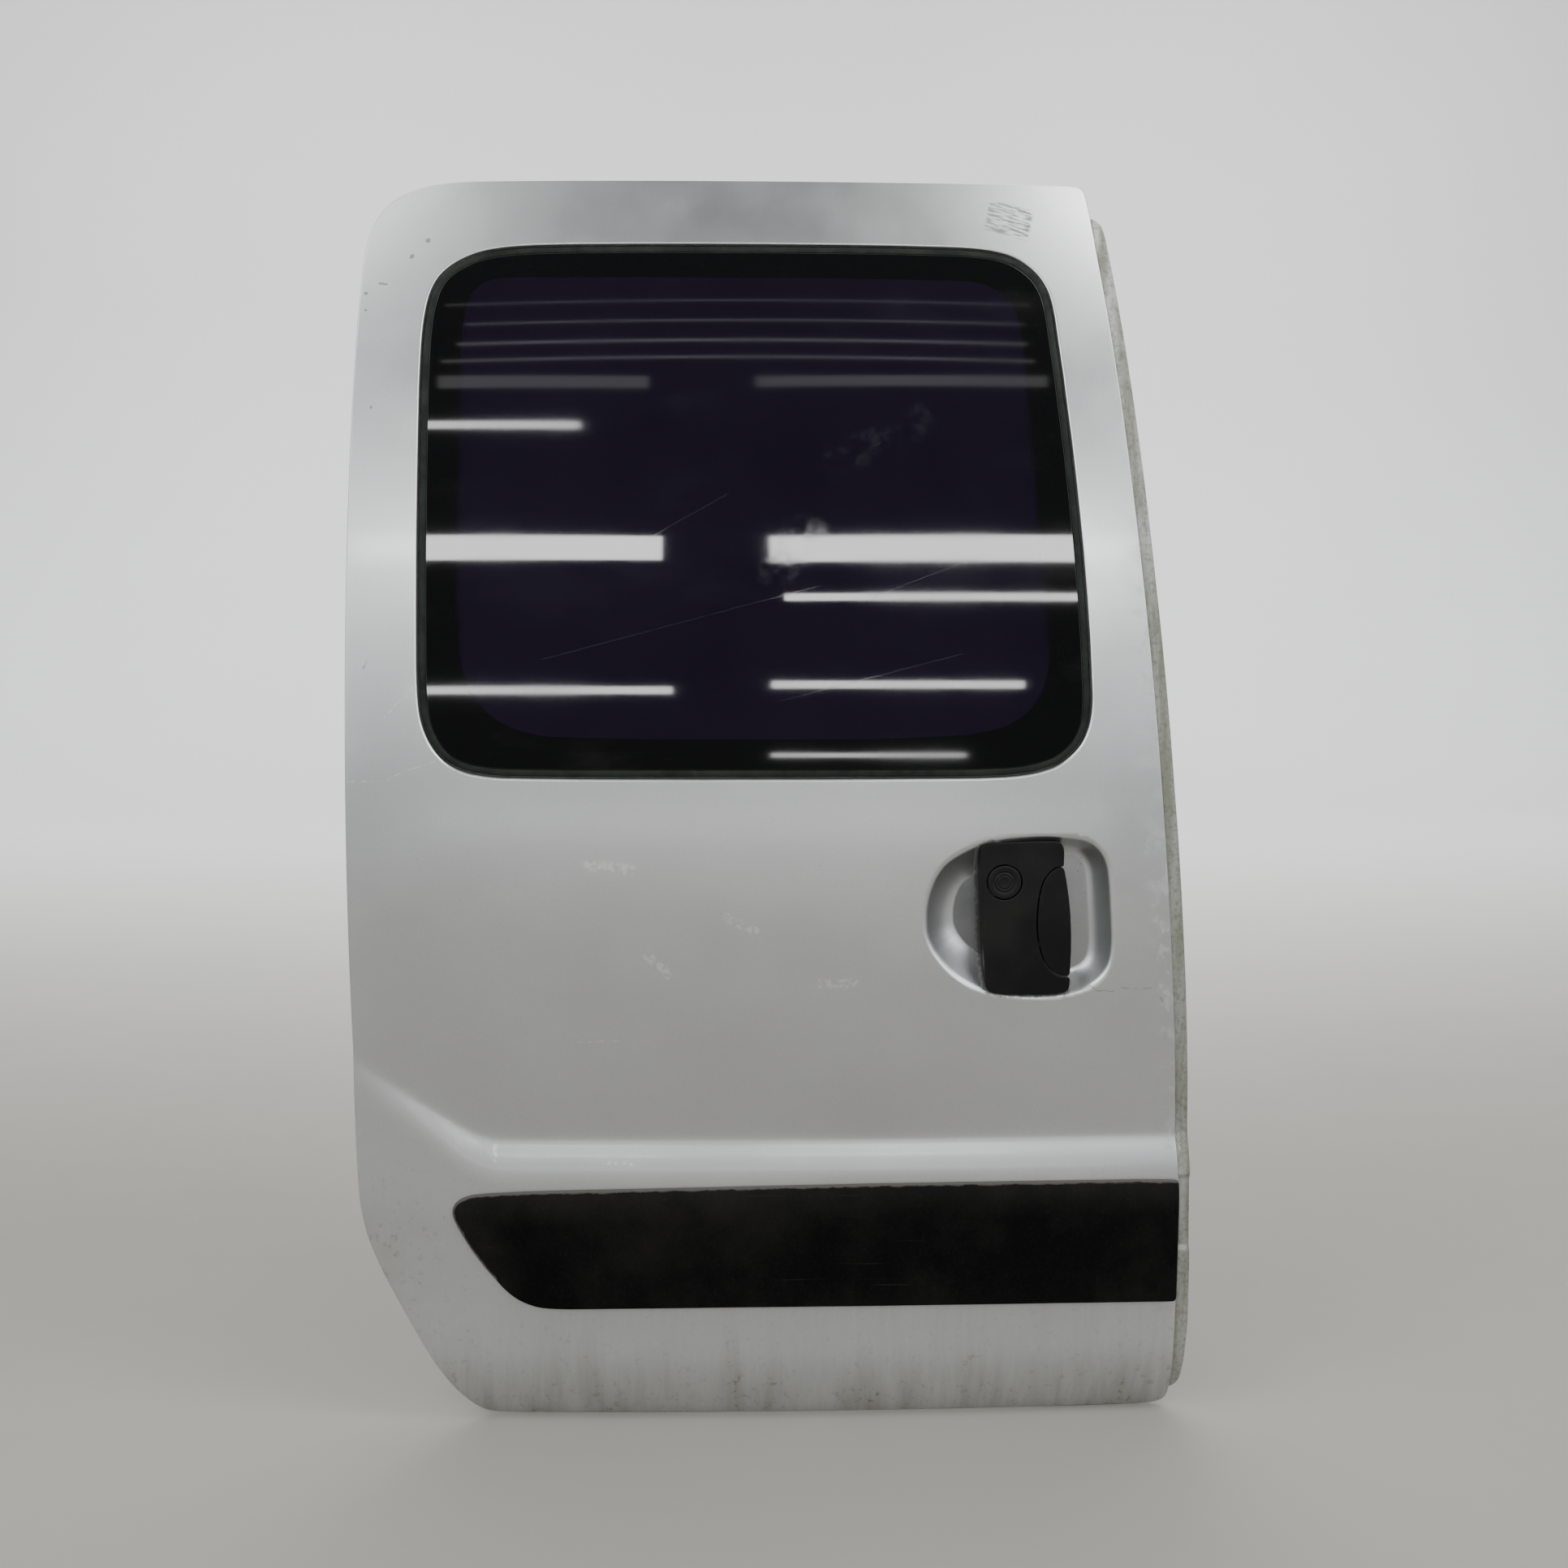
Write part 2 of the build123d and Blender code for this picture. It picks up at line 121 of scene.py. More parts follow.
MOULD_PTS = [(786.6, -335.6), (776.5, -334.9), (742.9, -333.9), (676.2, -333.4), (610.0, -333.2), (544.1, -333.2),
    (478.6, -333.4), (413.4, -334.2), (348.4, -335.2), (283.4, -336.6), (218.5, -338.0), (153.5, -339.8), (121.0, -340.9),
    (88.4, -342.8), (76.0, -344.2), (68.0, -346.0), (61.8, -348.8), (57.0, -352.6), (54.4, -357.2), (53.4, -361.6),
    (53.9, -366.5), (55.6, -371.5), (59.1, -378.6), (63.1, -386.2), (71.0, -399.6), (78.9, -411.2), (86.9, -421.8),
    (95.0, -431.2), (103.0, -439.4), (111.1, -446.4), (119.2, -451.8), (127.3, -455.8), (135.5, -458.6), (143.6, -460.2),
    (153.0, -461.0), (168.2, -461.4), (233.7, -460.6), (330.0, -459.6), (413.9, -459.4), (545.8, -459.6), (662.3, -460.4), (746.4, -461.6),
    (780.0, -462.2), (785.8, -462.2), (786.8, -458.0), (786.8, -400.0), (786.8, -345.0)]
DISH_PTS = [(523.0, -53.3), (526.0, -37.2), (531.5, -22.8), (539.3, -10.8), (547.3, -3.6), (555.2, 1.2), (563.2, 5.3),
    (571.2, 8.9), (579.2, 11.9), (587.2, 13.8), (603.2, 15.8), (619.3, 16.8), (635.4, 17.1), (651.5, 16.7), (667.7, 15.7),
    (679.8, 13.8), (688.0, 10.5), (696.2, 4.2), (702.0, -4.7), (705.4, -14.4), (707.4, -30.6), (708.6, -46.8),
    (709.8, -63.1), (710.9, -79.5), (711.2, -91.8), (710.2, -103.5), (707.5, -113.6), (703.3, -121.5), (697.1, -128.1),
    (690.8, -132.7), (683.5, -136.2), (671.3, -139.6), (663.2, -141.2), (655.1, -142.4), (638.8, -143.6), (622.5, -143.8),
    (606.2, -142.7), (594.0, -140.9), (583.3, -138.0), (573.5, -134.5), (565.3, -130.2), (557.1, -124.8), (548.9, -118.1),
    (540.7, -109.4), (532.5, -98.4), (526.9, -87.5), (523.9, -77.7), (522.8, -66.0)]
BODY_L = [(660.6, -12.0), (660.9, 2.4), (660.0, 7.2), (657.6, 11.2), (653.4, 12.9), (635.4, 13.2), (603.2, 12.2),
    (586.0, 10.9), (579.6, 9.2), (577.4, 5.6), (577.6, -10.0), (579.0, -37.6), (581.4, -86.3), (583.7, -119.2),
    (585.6, -133.4), (588.6, -137.0), (594.2, -138.8), (606.1, -140.0), (622.4, -140.6), (655.0, -140.2), (663.4, -139.2), (667.8, -136.8),
    (669.4, -132.0), (669.4, -124.4)]
LEVER_PTS = [(659.2, -12.6), (651.9, -14.1), (646.4, -18.7), (641.6, -25.4), (638.5, -34.0), (636.4, -46.1), (635.4, -58.3),
    (635.3, -70.5), (636.3, -82.2), (638.1, -91.4), (640.9, -101.4), (645.1, -110.0), (651.0, -116.9), (658.5, -121.1),
    (667.4, -122.6), (669.2, -120.4), (669.7, -111.9), (669.9, -95.4), (669.5, -79.0), (668.2, -58.6), (666.2, -42.3),
    (663.5, -26.1), (661.2, -15.0)]
STRIP_PTS = [(694.6, 643.6), (704.8, 643.6), (712.0, 639.6), (716.8, 634.6), (719.6, 622.0), (722.2, 600.0), (726.6, 562.1), (732.0, 510.4), (737.7, 451.4),
    (742.2, 401.8), (746.6, 352.8), (750.8, 304.4), (754.9, 256.3), (759.3, 208.6), (763.5, 160.9), (767.6, 113.2),
    (771.5, 65.4), (775.9, 17.2), (780.0, -31.3), (784.0, -80.5), (788.1, -130.3), (791.9, -181.1), (795.6, -233.0),
    (798.4, -286.2), (799.8, -333.1), (801.0, -384.4), (801.8, -436.2), (802.0, -488.3), (799.0, -535.0), (797.0, -552.0), (793.4, -559.6),
    (787.6, -563.4), (777.4, -563.4), (778.2, -460.0), (775.4, -286.0), (760.4, -80.0), (744.4, 113.0), (723.4, 352.0),
    (704.0, 553.0)]


def closed_curve(pts, step=2.0, sigma=3.0):
    """Evenly spaced smooth loop through the points, counter-clockwise in x, z."""
    p = np.array(pts, float)
    q = np.vstack([p, p[:1]])
    s = np.r_[0, np.cumsum(np.linalg.norm(np.diff(q, axis=0), axis=1))]
    n = max(24, int(round(s[-1] / 0.5)))
    t = np.linspace(0, s[-1], n, endpoint=False)
    c = np.c_[np.interp(t, s, q[:, 0]), np.interp(t, s, q[:, 1])]
    if sigma > 0:
        w = int(4 * sigma / 0.5)
        k = np.exp(-0.5 * (np.arange(-w, w + 1) * 0.5 / sigma) ** 2)
        k /= k.sum()
        e = np.vstack([c[-w:], c, c[:w]])
        c = np.c_[np.convolve(e[:, 0], k, "valid"), np.convolve(e[:, 1], k, "valid")]
    c = respace(c, step)
    a = np.sum(c[:, 0] * np.roll(c[:, 1], -1) - np.roll(c[:, 0], -1) * c[:, 1])
    return c if a > 0 else c[::-1].copy()


def respace(c, step):
    q = np.vstack([c, c[:1]])
    s = np.r_[0, np.cumsum(np.linalg.norm(np.diff(q, axis=0), axis=1))]
    n = max(12, int(round(s[-1] / step)))
    t = np.linspace(0, s[-1], n, endpoint=False)
    return np.c_[np.interp(t, s, q[:, 0]), np.interp(t, s, q[:, 1])]


def loop_normals(c):
    """Outward unit normals of a counter-clockwise loop."""
    t = np.roll(c, -1, 0) - np.roll(c, 1, 0)
    n = np.c_[t[:, 1], -t[:, 0]]
    return n / np.maximum(np.linalg.norm(n, axis=1), 1e-9)[:, None]


def inside(p, loop):
    """Points in polygon."""
    x, z = p[:, 0], p[:, 1]
    r = np.zeros(len(p), bool)
    a = loop
    b = np.roll(loop, -1, 0)
    for i in range(len(a)):
        c = (a[i, 1] > z) != (b[i, 1] > z)
        if c.any():
            xi = (b[i, 0] - a[i, 0]) * (z - a[i, 1]) / (b[i, 1] - a[i, 1] + 1e-12) + a[i, 0]
            r ^= c & (x < xi)
    return r


def dist_to(p, loop, closed=True):
    """Unsigned distance from points to a dense poly-line (segments)."""
    a = loop if closed else loop[:-1]
    b = np.roll(loop, -1, 0) if closed else loop[1:]
    out = np.full(len(p), 1e9)
    ab = b - a
    l2 = np.maximum((ab ** 2).sum(1), 1e-12)
    for i in range(0, len(p), 4000):
        q = p[i:i + 4000]
        v = q[:, None, :] - a[None]
        t = np.clip((v * ab[None]).sum(2) / l2[None], 0, 1)
        d = v - t[:, :, None] * ab[None]
        out[i:i + 4000] = np.sqrt((d ** 2).sum(2).min(1))
    return out


def sdist(p, loop):
    d = dist_to(p, loop)
    return np.where(inside(p, loop), d, -d)


def plane_mesh(outer, holes, grid, clear=0.62, spacing=None):
    """Triangles over the area inside outer and outside holes. grid: candidate points. Returns pts, tris, loop index lists."""
    loops = [outer] + list(holes)
    keep = inside(grid, outer)
    for h in holes:
        keep &= ~inside(grid, h)
    grid = grid[keep]
    sp = spacing[keep] if spacing is not None else None
    far = np.ones(len(grid), bool)
    for l in loops:
        d = dist_to(grid, l)
        far &= d > (clear * sp if sp is not None else 2.0)
    grid = grid[far]
    pts = np.vstack(loops + [grid])
    edges, idx, k = [], [], 0
    for l in loops:
        n = len(l)
        idx.append(np.arange(k, k + n))
        edges += [(k + i, k + (i + 1) % n) for i in range(n)]
        k += n
    r = delaunay_2d_cdt([Vector((float(x), float(z))) for x, z in pts], edges, [], 0, 1e-5)
    v = np.array([(q.x, q.y) for q in r[0]])
    tri = np.array([f for f in r[2] if len(f) == 3], int)
    remap = np.full(len(pts), -1)
    for new, olds in enumerate(r[3]):
        for o in olds:
            remap[o] = new
    idx = [remap[i] for i in idx]
    cen = v[tri].mean(1)
    ok = inside(cen, outer)
    for h in holes:
        ok &= ~inside(cen, h)
    tri = tri[ok]
    a, b, c = v[tri[:, 0]], v[tri[:, 1]], v[tri[:, 2]]
    ar = (b[:, 0] - a[:, 0]) * (c[:, 1] - a[:, 1]) - (c[:, 0] - a[:, 0]) * (b[:, 1] - a[:, 1])
    flip = ar < 0
    tri[flip] = tri[flip][:, ::-1]
    tri = tri[abs(ar) > 1e-6]
    return v, tri, idx


def grid_pts(xs, zs):
    X, Z = np.meshgrid(xs, zs)
    return np.c_[X.ravel(), Z.ravel()]


def make_obj(name, verts_mm, faces, mat, smooth=True, normals=None):
    me = bpy.data.meshes.new(name)
    me.from_pydata((np.asarray(verts_mm, float) * 0.001).tolist(), [], [list(map(int, f)) for f in faces])
    me.validate(clean_customdata=False)
    me.update()
    me.polygons.foreach_set("use_smooth", [smooth] * len(me.polygons))
    o = bpy.data.objects.new(name, me)
    bpy.context.collection.objects.link(o)
    if mat is not None:
        me.materials.append(mat)
    if normals is not None:
        me.normals_split_custom_set_from_vertices([tuple(map(float, n)) for n in normals])
    return o


def vertex_normals(v, faces):
    n = np.zeros_like(v)
    f3 = np.array([f for f in faces if len(f) == 3], int).reshape(-1, 3)
    f4 = np.array([f for f in faces if len(f) == 4], int).reshape(-1, 4)
    for f, m in ((f3, 3), (f4, 4)):
        if len(f) == 0:
            continue
        c = np.cross(v[f[:, 1]] - v[f[:, 0]], v[f[:, 2]] - v[f[:, 0]]) if m == 3 else np.cross(v[f[:, 2]] - v[f[:, 0]], v[f[:, 3]] - v[f[:, 1]])
        for j in range(m):
            np.add.at(n, f[:, j], c)
    return n / np.maximum(np.linalg.norm(n, axis=1), 1e-12)[:, None]


class Sheet:
    """A folded sheet: triangulated field plus rolled rims, then thickened into a closed solid."""

    def __init__(self, outer, holes, fun, grid, spacing):
        v2, tri, idx = plane_mesh(outer, holes, grid, spacing=spacing)
        self.v = [np.array([x, y, z]) for x, y, z in zip(v2[:, 0], fun(v2[:, 0], v2[:, 1]), v2[:, 1])]
        self.f = [(a, b, c) for a, b, c in tri.tolist()]
        self.n = {i: n for i, n in enumerate(normal_of(fun, v2[:, 0], v2[:, 1]))}
        self.loops = idx
        self.fun = fun
        self.v2 = v2
        self.nfield = len(v2)

    def rim(self, k, steps, outward=True):
        """steps: (sideways, depth) from the loop; sideways is away from the sheet's material."""
        cur = [int(i) for i in self.loops[k]]
        base = self.v2[self.loops[k]]
        nn = loop_normals(base) * (1 if outward else -1)
        ny = self.fun(base[:, 0], base[:, 1])
        for a, d in steps:
            p = base + nn * a
            y = self.fun(p[:, 0], p[:, 1]) if False else ny + (S(p[:, 0], p[:, 1]) - S(base[:, 0], base[:, 1]))
            new = []
            for i in range(len(base)):
                self.v.append(np.array([p[i, 0], y[i] + d, p[i, 1]]))
                new.append(len(self.v) - 1)
            m = len(cur)
            for i in range(m):
                j = (i + 1) % m
                q = (cur[j], cur[i], new[i], new[j]) if outward else (cur[i], cur[j], new[j], new[i])
                self.f.append(q)
            cur = new
        self.loops[k] = np.array(cur)
        return self

    def build(self, name, mat, thick=1.0, open_back=False):
        v = np.array(self.v)
        n = vertex_normals(v, self.f)
        for i, q in self.n.items():
            if n[i] @ q > 0.6:
                n[i] = q
        back = v - n * thick
        N = len(v)
        faces = list(self.f)
        faces += [tuple(i + N for i in reversed(f)) for f in self.f]
        for l in self.loops:
            m = len(l)
            # boundary direction from an existing face
            used = set()
            for f in self.f:
                for a, b in zip(f, f[1:] + f[:1]):
                    used.add((a, b))
            for i in range(m):
                a, b = int(l[i]), int(l[(i + 1) % m])
                if (a, b) in used:
                    faces.append((b, a, a + N, b + N))
                else:
                    faces.append((a, b, b + N, a + N))
        return make_obj(name, np.vstack([v, back]), faces, mat, True, np.vstack([n, -n]))


def loft_loops(name, base, steps, mat, fun=S, closed=True, outward=1.0):
    """Quad strips between copies of a loop; steps are (sideways, depth), closed joins last to first."""
    nn = loop_normals(base) * outward
    V, F = [], []
    m = len(base)
    for a, d in steps:
        p = base + nn * a
        y = fun(p[:, 0], p[:, 1]) + d
        V += [(p[i, 0], y[i], p[i, 1]) for i in range(m)]
    k = len(steps)
    for r in range(k if closed else k - 1):
        s = (r + 1) % k
        for i in range(m):
            j = (i + 1) % m
            F.append((r * m + i, s * m + i, s * m + j, r * m + j))
    return V, F


def arc_steps(r, a0, a1, n, d0=0.0):
    """Rolled edge: sideways r*sin, depth r*(1-cos)."""
    return [(r * math.sin(math.radians(a0 + (a1 - a0) * i / n)), d0 + r * (1 - math.cos(math.radians(a0 + (a1 - a0) * i / n))))
            for i in range(1, n + 1)]


# ------------------------------------------------------------------ node helpers
class Mat:
    def __init__(self, name):
        self.m = bpy.data.materials.new(name)
        self.m.use_nodes = True
        self.t = self.m.node_tree
        self.b = self.t.nodes["Principled BSDF"]
        tc = self.t.nodes.new("ShaderNodeTexCoord")
        self.obj = tc.outputs["Object"]
        sp = self.t.nodes.new("ShaderNodeSeparateXYZ")
        self.t.links.new(self.obj, sp.inputs[0])
        self.x, self.y, self.z = sp.outputs
        self._xz = None

    def n(self, kind, **kw):
        o = self.t.nodes.new(kind)
        for k, v in kw.items():
            setattr(o, k, v)
        return o

    def put(self, sock, v):
        if hasattr(v, "is_output"):
            self.t.links.new(v, sock)
        else:
            sock.default_value = v

    def math(self, op, a, b=0.0, c=None, clamp=False):
        o = self.n("ShaderNodeMath", operation=op)
        o.use_clamp = clamp
        self.put(o.inputs[0], a)
        self.put(o.inputs[1], b)
        if c is not None:
            self.put(o.inputs[2], c)
        return o.outputs[0]

    def step(self, v, lo, hi, a=0.0, b=1.0):
        o = self.n("ShaderNodeMapRange", interpolation_type="SMOOTHSTEP")
        self.put(o.inputs["Value"], v)
        o.inputs["From Min"].default_value = lo
        o.inputs["From Max"].default_value = hi
        o.inputs["To Min"].default_value = a
        o.inputs["To Max"].default_value = b
        return o.outputs["Result"]

    def lin(self, v, lo, hi, a=0.0, b=1.0):
        o = self.n("ShaderNodeMapRange")
        self.put(o.inputs["Value"], v)
        o.inputs["From Min"].default_value = lo
        o.inputs["From Max"].default_value = hi
        o.inputs["To Min"].default_value = a
        o.inputs["To Max"].default_value = b
        return o.outputs["Result"]

    def noise(self, scale, detail=3.0, rough=0.5, vec=None, stretch=None, dist=0.0):
        v = vec or self.obj
        if stretch:
            mp = self.n("ShaderNodeMapping")
            self.put(mp.inputs["Vector"], v)
            mp.inputs["Scale"].default_value = stretch
            v = mp.outputs[0]
        o = self.n("ShaderNodeTexNoise")
        self.put(o.inputs["Vector"], v)
        o.inputs["Scale"].default_value = scale
        o.inputs["Detail"].default_value = detail
        o.inputs["Roughness"].default_value = rough
        o.inputs["Distortion"].default_value = dist
        return o.outputs["Fac"]

    def voronoi(self, scale, feature="F1", out="Distance", rand=1.0, vec=None):
        o = self.n("ShaderNodeTexVoronoi", feature=feature)
        self.put(o.inputs["Vector"], vec or self.obj)
        o.inputs["Scale"].default_value = scale
        o.inputs["Randomness"].default_value = rand
        return o.outputs[out]

    def mix(self, f, a, b):
        o = self.n("ShaderNodeMix", data_type="RGBA")
        self.put(o.inputs[0], f)
        self.put(o.inputs[6], a if hasattr(a, "is_output") else (*a, 1.0) if len(a) == 3 else a)
        self.put(o.inputs[7], b if hasattr(b, "is_output") else (*b, 1.0) if len(b) == 3 else b)
        return o.outputs[2]

    def mixf(self, f, a, b):
        o = self.n("ShaderNodeMix", data_type="FLOAT")
        self.put(o.inputs[0], f)
        self.put(o.inputs[2], a)
        self.put(o.inputs[3], b)
        return o.outputs[0]

    def attr(self, name):
        o = self.n("ShaderNodeAttribute", attribute_name=name)
        return o.outputs["Fac"]

    def xz(self):
        if self._xz is None:
            c = self.n("ShaderNodeCombineXYZ")
            self.t.links.new(self.x, c.inputs[0])
            self.t.links.new(self.z, c.inputs[1])
            self._xz = c.outputs[0]
        return self._xz

    def capsule(self, x0, z0, x1, z1, w, soft=0.5, vec=None):
        """1 on a line of half-width w (mm), fading over soft*w outside."""
        a = Vector((x0, z0, 0)) * 0.001
        ab = Vector((x1 - x0, z1 - z0, 0)) * 0.001
        s = self.n("ShaderNodeVectorMath", operation="SUBTRACT")
        self.put(s.inputs[0], vec or self.xz())
        s.inputs[1].default_value = a
        d = self.n("ShaderNodeVectorMath", operation="DOT_PRODUCT")
        self.t.links.new(s.outputs[0], d.inputs[0])
        d.inputs[1].default_value = ab
        k = self.math("MULTIPLY", d.outputs["Value"], 1.0 / max(ab.length_squared, 1e-12), clamp=True)
        m = self.n("ShaderNodeVectorMath", operation="SCALE")
        m.inputs[0].default_value = ab
        self.put(m.inputs["Scale"], k)
        u = self.n("ShaderNodeVectorMath", operation="SUBTRACT")
        self.t.links.new(s.outputs[0], u.inputs[0])
        self.t.links.new(m.outputs[0], u.inputs[1])
        l = self.n("ShaderNodeVectorMath", operation="LENGTH")
        self.t.links.new(u.outputs[0], l.inputs[0])
        return self.step(l.outputs["Value"], w * 0.001, w * (1 + soft) * 0.001 + 1e-6, 1.0, 0.0)

    def warp(self, amount, scale):
        """xz moved by noise, for ragged marks."""
        o = self.n("ShaderNodeTexNoise")
        self.put(o.inputs["Vector"], self.obj)
        o.inputs["Scale"].default_value = scale
        o.inputs["Detail"].default_value = 3.0
        s = self.n("ShaderNodeVectorMath", operation="SUBTRACT")
        self.t.links.new(o.outputs["Color"], s.inputs[0])
        s.inputs[1].default_value = (0.5, 0.5, 0.5)
        k = self.n("ShaderNodeVectorMath", operation="SCALE")
        self.t.links.new(s.outputs[0], k.inputs[0])
        k.inputs["Scale"].default_value = amount * 0.001
        a = self.n("ShaderNodeVectorMath", operation="ADD")
        self.put(a.inputs[0], self.xz())
        self.t.links.new(k.outputs[0], a.inputs[1])
        return a.outputs[0]

    def most(self, items):
        r = items[0]
        for i in items[1:]:
            r = self.math("MAXIMUM", r, i)
        return r

    def set(self, **kw):
        for k, v in kw.items():
            s = self.b.inputs[k.replace("_", " ")]
            if isinstance(v, tuple) and len(v) == 3:
                v = (*v, 1.0)
            self.put(s, v)
        return self

    def bump(self, h, strength=0.3, dist=0.001, prev=None):
        o = self.n("ShaderNodeBump")
        o.inputs["Strength"].default_value = strength
        o.inputs["Distance"].default_value = dist
        self.put(o.inputs["Height"], h)
        if prev is not None:
            self.t.links.new(prev, o.inputs["Normal"])
        return o.outputs[0]


# ------------------------------------------------------------------ materials
def paint_material():
    m = Mat("silver_paint")
    fl = m.voronoi(2600.0, out="Color")
    sep = m.n("ShaderNodeSeparateColor")
    m.put(sep.inputs[0], fl)
    flake = m.lin(sep.outputs[0], 0, 1, 0.93, 1.07)
    cloud = m.lin(m.noise(3.2, 4.0, 0.55), 0.3, 0.7, 0.97, 1.03)
    tone = m.math("MULTIPLY", flake, cloud)
    base = m.n("ShaderNodeVectorMath", operation="SCALE")
    base.inputs[0].default_value = (0.485, 0.488, 0.488)
    m.put(base.inputs["Scale"], tone)
    silver = base.outputs[0]
    # road film: low down, along the front edge and in soft vertical runs
    runs = m.noise(14.0, 4.0, 0.6, stretch=(3.0, 1.0, 0.35))
    low = m.math("MULTIPLY", m.step(m.z, -0.36, -0.59), m.lin(runs, 0.3, 0.7, 0.42, 1.0))
    arch = m.math("MULTIPLY", m.math("MULTIPLY", m.step(m.x, 0.22, -0.02), m.step(m.z, -0.20, -0.40)), m.lin(m.noise(8.0, 4.0, 0.6), 0.3, 0.7, 0.45, 0.85))
    low = m.math("MAXIMUM", low, arch)
    mid = m.math("MULTIPLY", m.step(m.z, 0.02, -0.30), m.lin(m.noise(5.0, 4.0, 0.6), 0.35, 0.75, 0.0, 0.22))
    film = m.math("MAXIMUM", low, mid)
    fine = m.step(m.noise(120.0, 2.0, 0.7), 0.56, 0.74)
    film = m.math("ADD", m.math("MULTIPLY", film, 0.80), m.math("MULTIPLY", m.math("MULTIPLY", film, fine), 0.35), clamp=True)
    col = m.mix(film, silver, (0.088, 0.078, 0.052))
    # front edge grime
    xe = m.math("SUBTRACT", m.x, m.math("MULTIPLY_ADD", m.z, -0.078, 0.764))
    edge = m.math("MULTIPLY", m.step(xe, -0.035, 0.005), m.step(m.noise(60.0, 4.0, 0.7), 0.48, 0.72))
    edge = m.math("MULTIPLY", edge, m.step(m.z, 0.45, 0.0))
    col = m.mix(m.math("MULTIPLY", edge, 0.55), col, (0.085, 0.086, 0.052))
    # light dust specks and small dark chips
    chips = m.step(m.voronoi(46.0), 0.045, 0.02)
    gate = m.step(m.noise(7.0, 2.0), 0.56, 0.66)
    chips = m.math("MULTIPLY", chips, gate)
    col = m.mix(m.math("MULTIPLY", chips, 0.5), col, (0.09, 0.088, 0.08))
    w = m.warp(3.0, 180.0)
    w2 = m.warp(9.0, 70.0)
    dark = m.most([
        m.capsule(23.2, 611.5, 24.5, 612.2, 1.6, vec=w), m.capsule(8, 594, 9, 595, 1.6, vec=w),
        m.capsule(-22, 566, -15, 565, 0.9, vec=w), m.capsule(-36, 555, -35, 555, 1.3, vec=w),
        m.capsule(-35, 537, -34, 537, 1.0, vec=w), m.capsule(-24, 437, -24, 438, 1.0, vec=w),
        m.capsule(-25, 180, -22, 188, 0.4, 2.0, vec=w2),
        m.capsule(690, -132, 697, -138, 0.45, vec=w), m.capsule(697, -138, 714, -138, 0.4, vec=w),
        m.capsule(722, -136, 752, -136, 0.35, 1.5, vec=w2), m.capsule(762, -146, 764, -150, 0.6, vec=w)])
    col = m.mix(m.math("MULTIPLY", dark, 0.55), col, (0.055, 0.05, 0.045))
    light = m.most([
        m.capsule(-40, 71, -4, 72, 0.55), m.capsule(-4, 72, 16, 81.5, 0.55), m.capsule(16, 81.5, 45, 91, 0.55),
        m.capsule(-13, 123.5, 24, 163.5, 0.5, vec=w), m.capsule(181, -188, 222, -186, 0.4, vec=w),
        m.capsule(193, -9, 235, -13, 3.0, 1.6, vec=w2), m.capsule(250, -98, 272, -118, 2.2, 1.6, vec=w2),
        m.capsule(330, -62, 356, -74, 2.4, 1.6, vec=w2), m.capsule(420, -128, 454, -128, 2.2, 1.8, vec=w2),
        m.capsule(96, -297, 97, -311, 1.2, 1.0, vec=w), m.capsule(205, -313, 238, -313, 1.4, 1.2, vec=w2)])
    brk = m.step(m.noise(160.0, 2.0, 0.6), 0.42, 0.60)
    col = m.mix(m.math("MULTIPLY", m.math("MULTIPLY", light, brk), 0.42), col, (0.80, 0.80, 0.78))
    # dried adhesive patch by the front top corner, streaky, no lettering
    pm = m.n("ShaderNodeMapping")
    m.put(pm.inputs["Vector"], m.xz())
    pm.inputs["Location"].default_value = (-0.619, -0.6385, 0)
    pr = m.n("ShaderNodeMapping")
    m.t.links.new(pm.outputs[0], pr.inputs["Vector"])
    pr.inputs["Rotation"].default_value = (0, 0, math.radians(14))
    sp = m.n("ShaderNodeSeparateXYZ")
    m.t.links.new(pr.outputs[0], sp.inputs[0])
    px = m.step(m.math("ABSOLUTE", sp.outputs[0]), 0.021, 0.025, 1, 0)
    pz = m.step(m.math("ABSOLUTE", sp.outputs[1]), 0.015, 0.019, 1, 0)
    stre = m.n("ShaderNodeTexNoise")
    sm = m.n("ShaderNodeMapping")
    m.t.links.new(pr.outputs[0], sm.inputs["Vector"])
    sm.inputs["Scale"].default_value = (60, 420, 60)
    m.t.links.new(sm.outputs[0], stre.inputs["Vector"])
    stre.inputs["Scale"].default_value = 1.0
    stre.inputs["Detail"].default_value = 3.0
    patch = m.math("MULTIPLY", m.math("MULTIPLY", px, pz), m.step(stre.outputs["Fac"], 0.42, 0.62))
    col = m.mix(m.math("MULTIPLY", patch, 0.7), col, (0.030, 0.030, 0.028))
    gr = m.math("SUBTRACT", m.attr("grime"), m.math("MULTIPLY", m.noise(150.0, 4.0, 0.7), 9.0))
    gr = m.step(gr, 0.5, -3.2)
    gr = m.math("MULTIPLY", gr, m.math("MAXIMUM", m.step(m.x, 0.600, 0.590), m.step(m.z, -0.126, -0.134)))
    pocket = m.math("MULTIPLY", m.step(m.attr("grime"), 32.0, 20.0), m.step(m.voronoi(210.0), 0.17, 0.09))
    pocket = m.math("MULTIPLY", pocket, m.step(m.noise(38.0, 2.0), 0.54, 0.62))
    pocket = m.math("MULTIPLY", pocket, m.step(m.x, 0.655, 0.668))
    gr = m.math("MAXIMUM", gr, pocket)
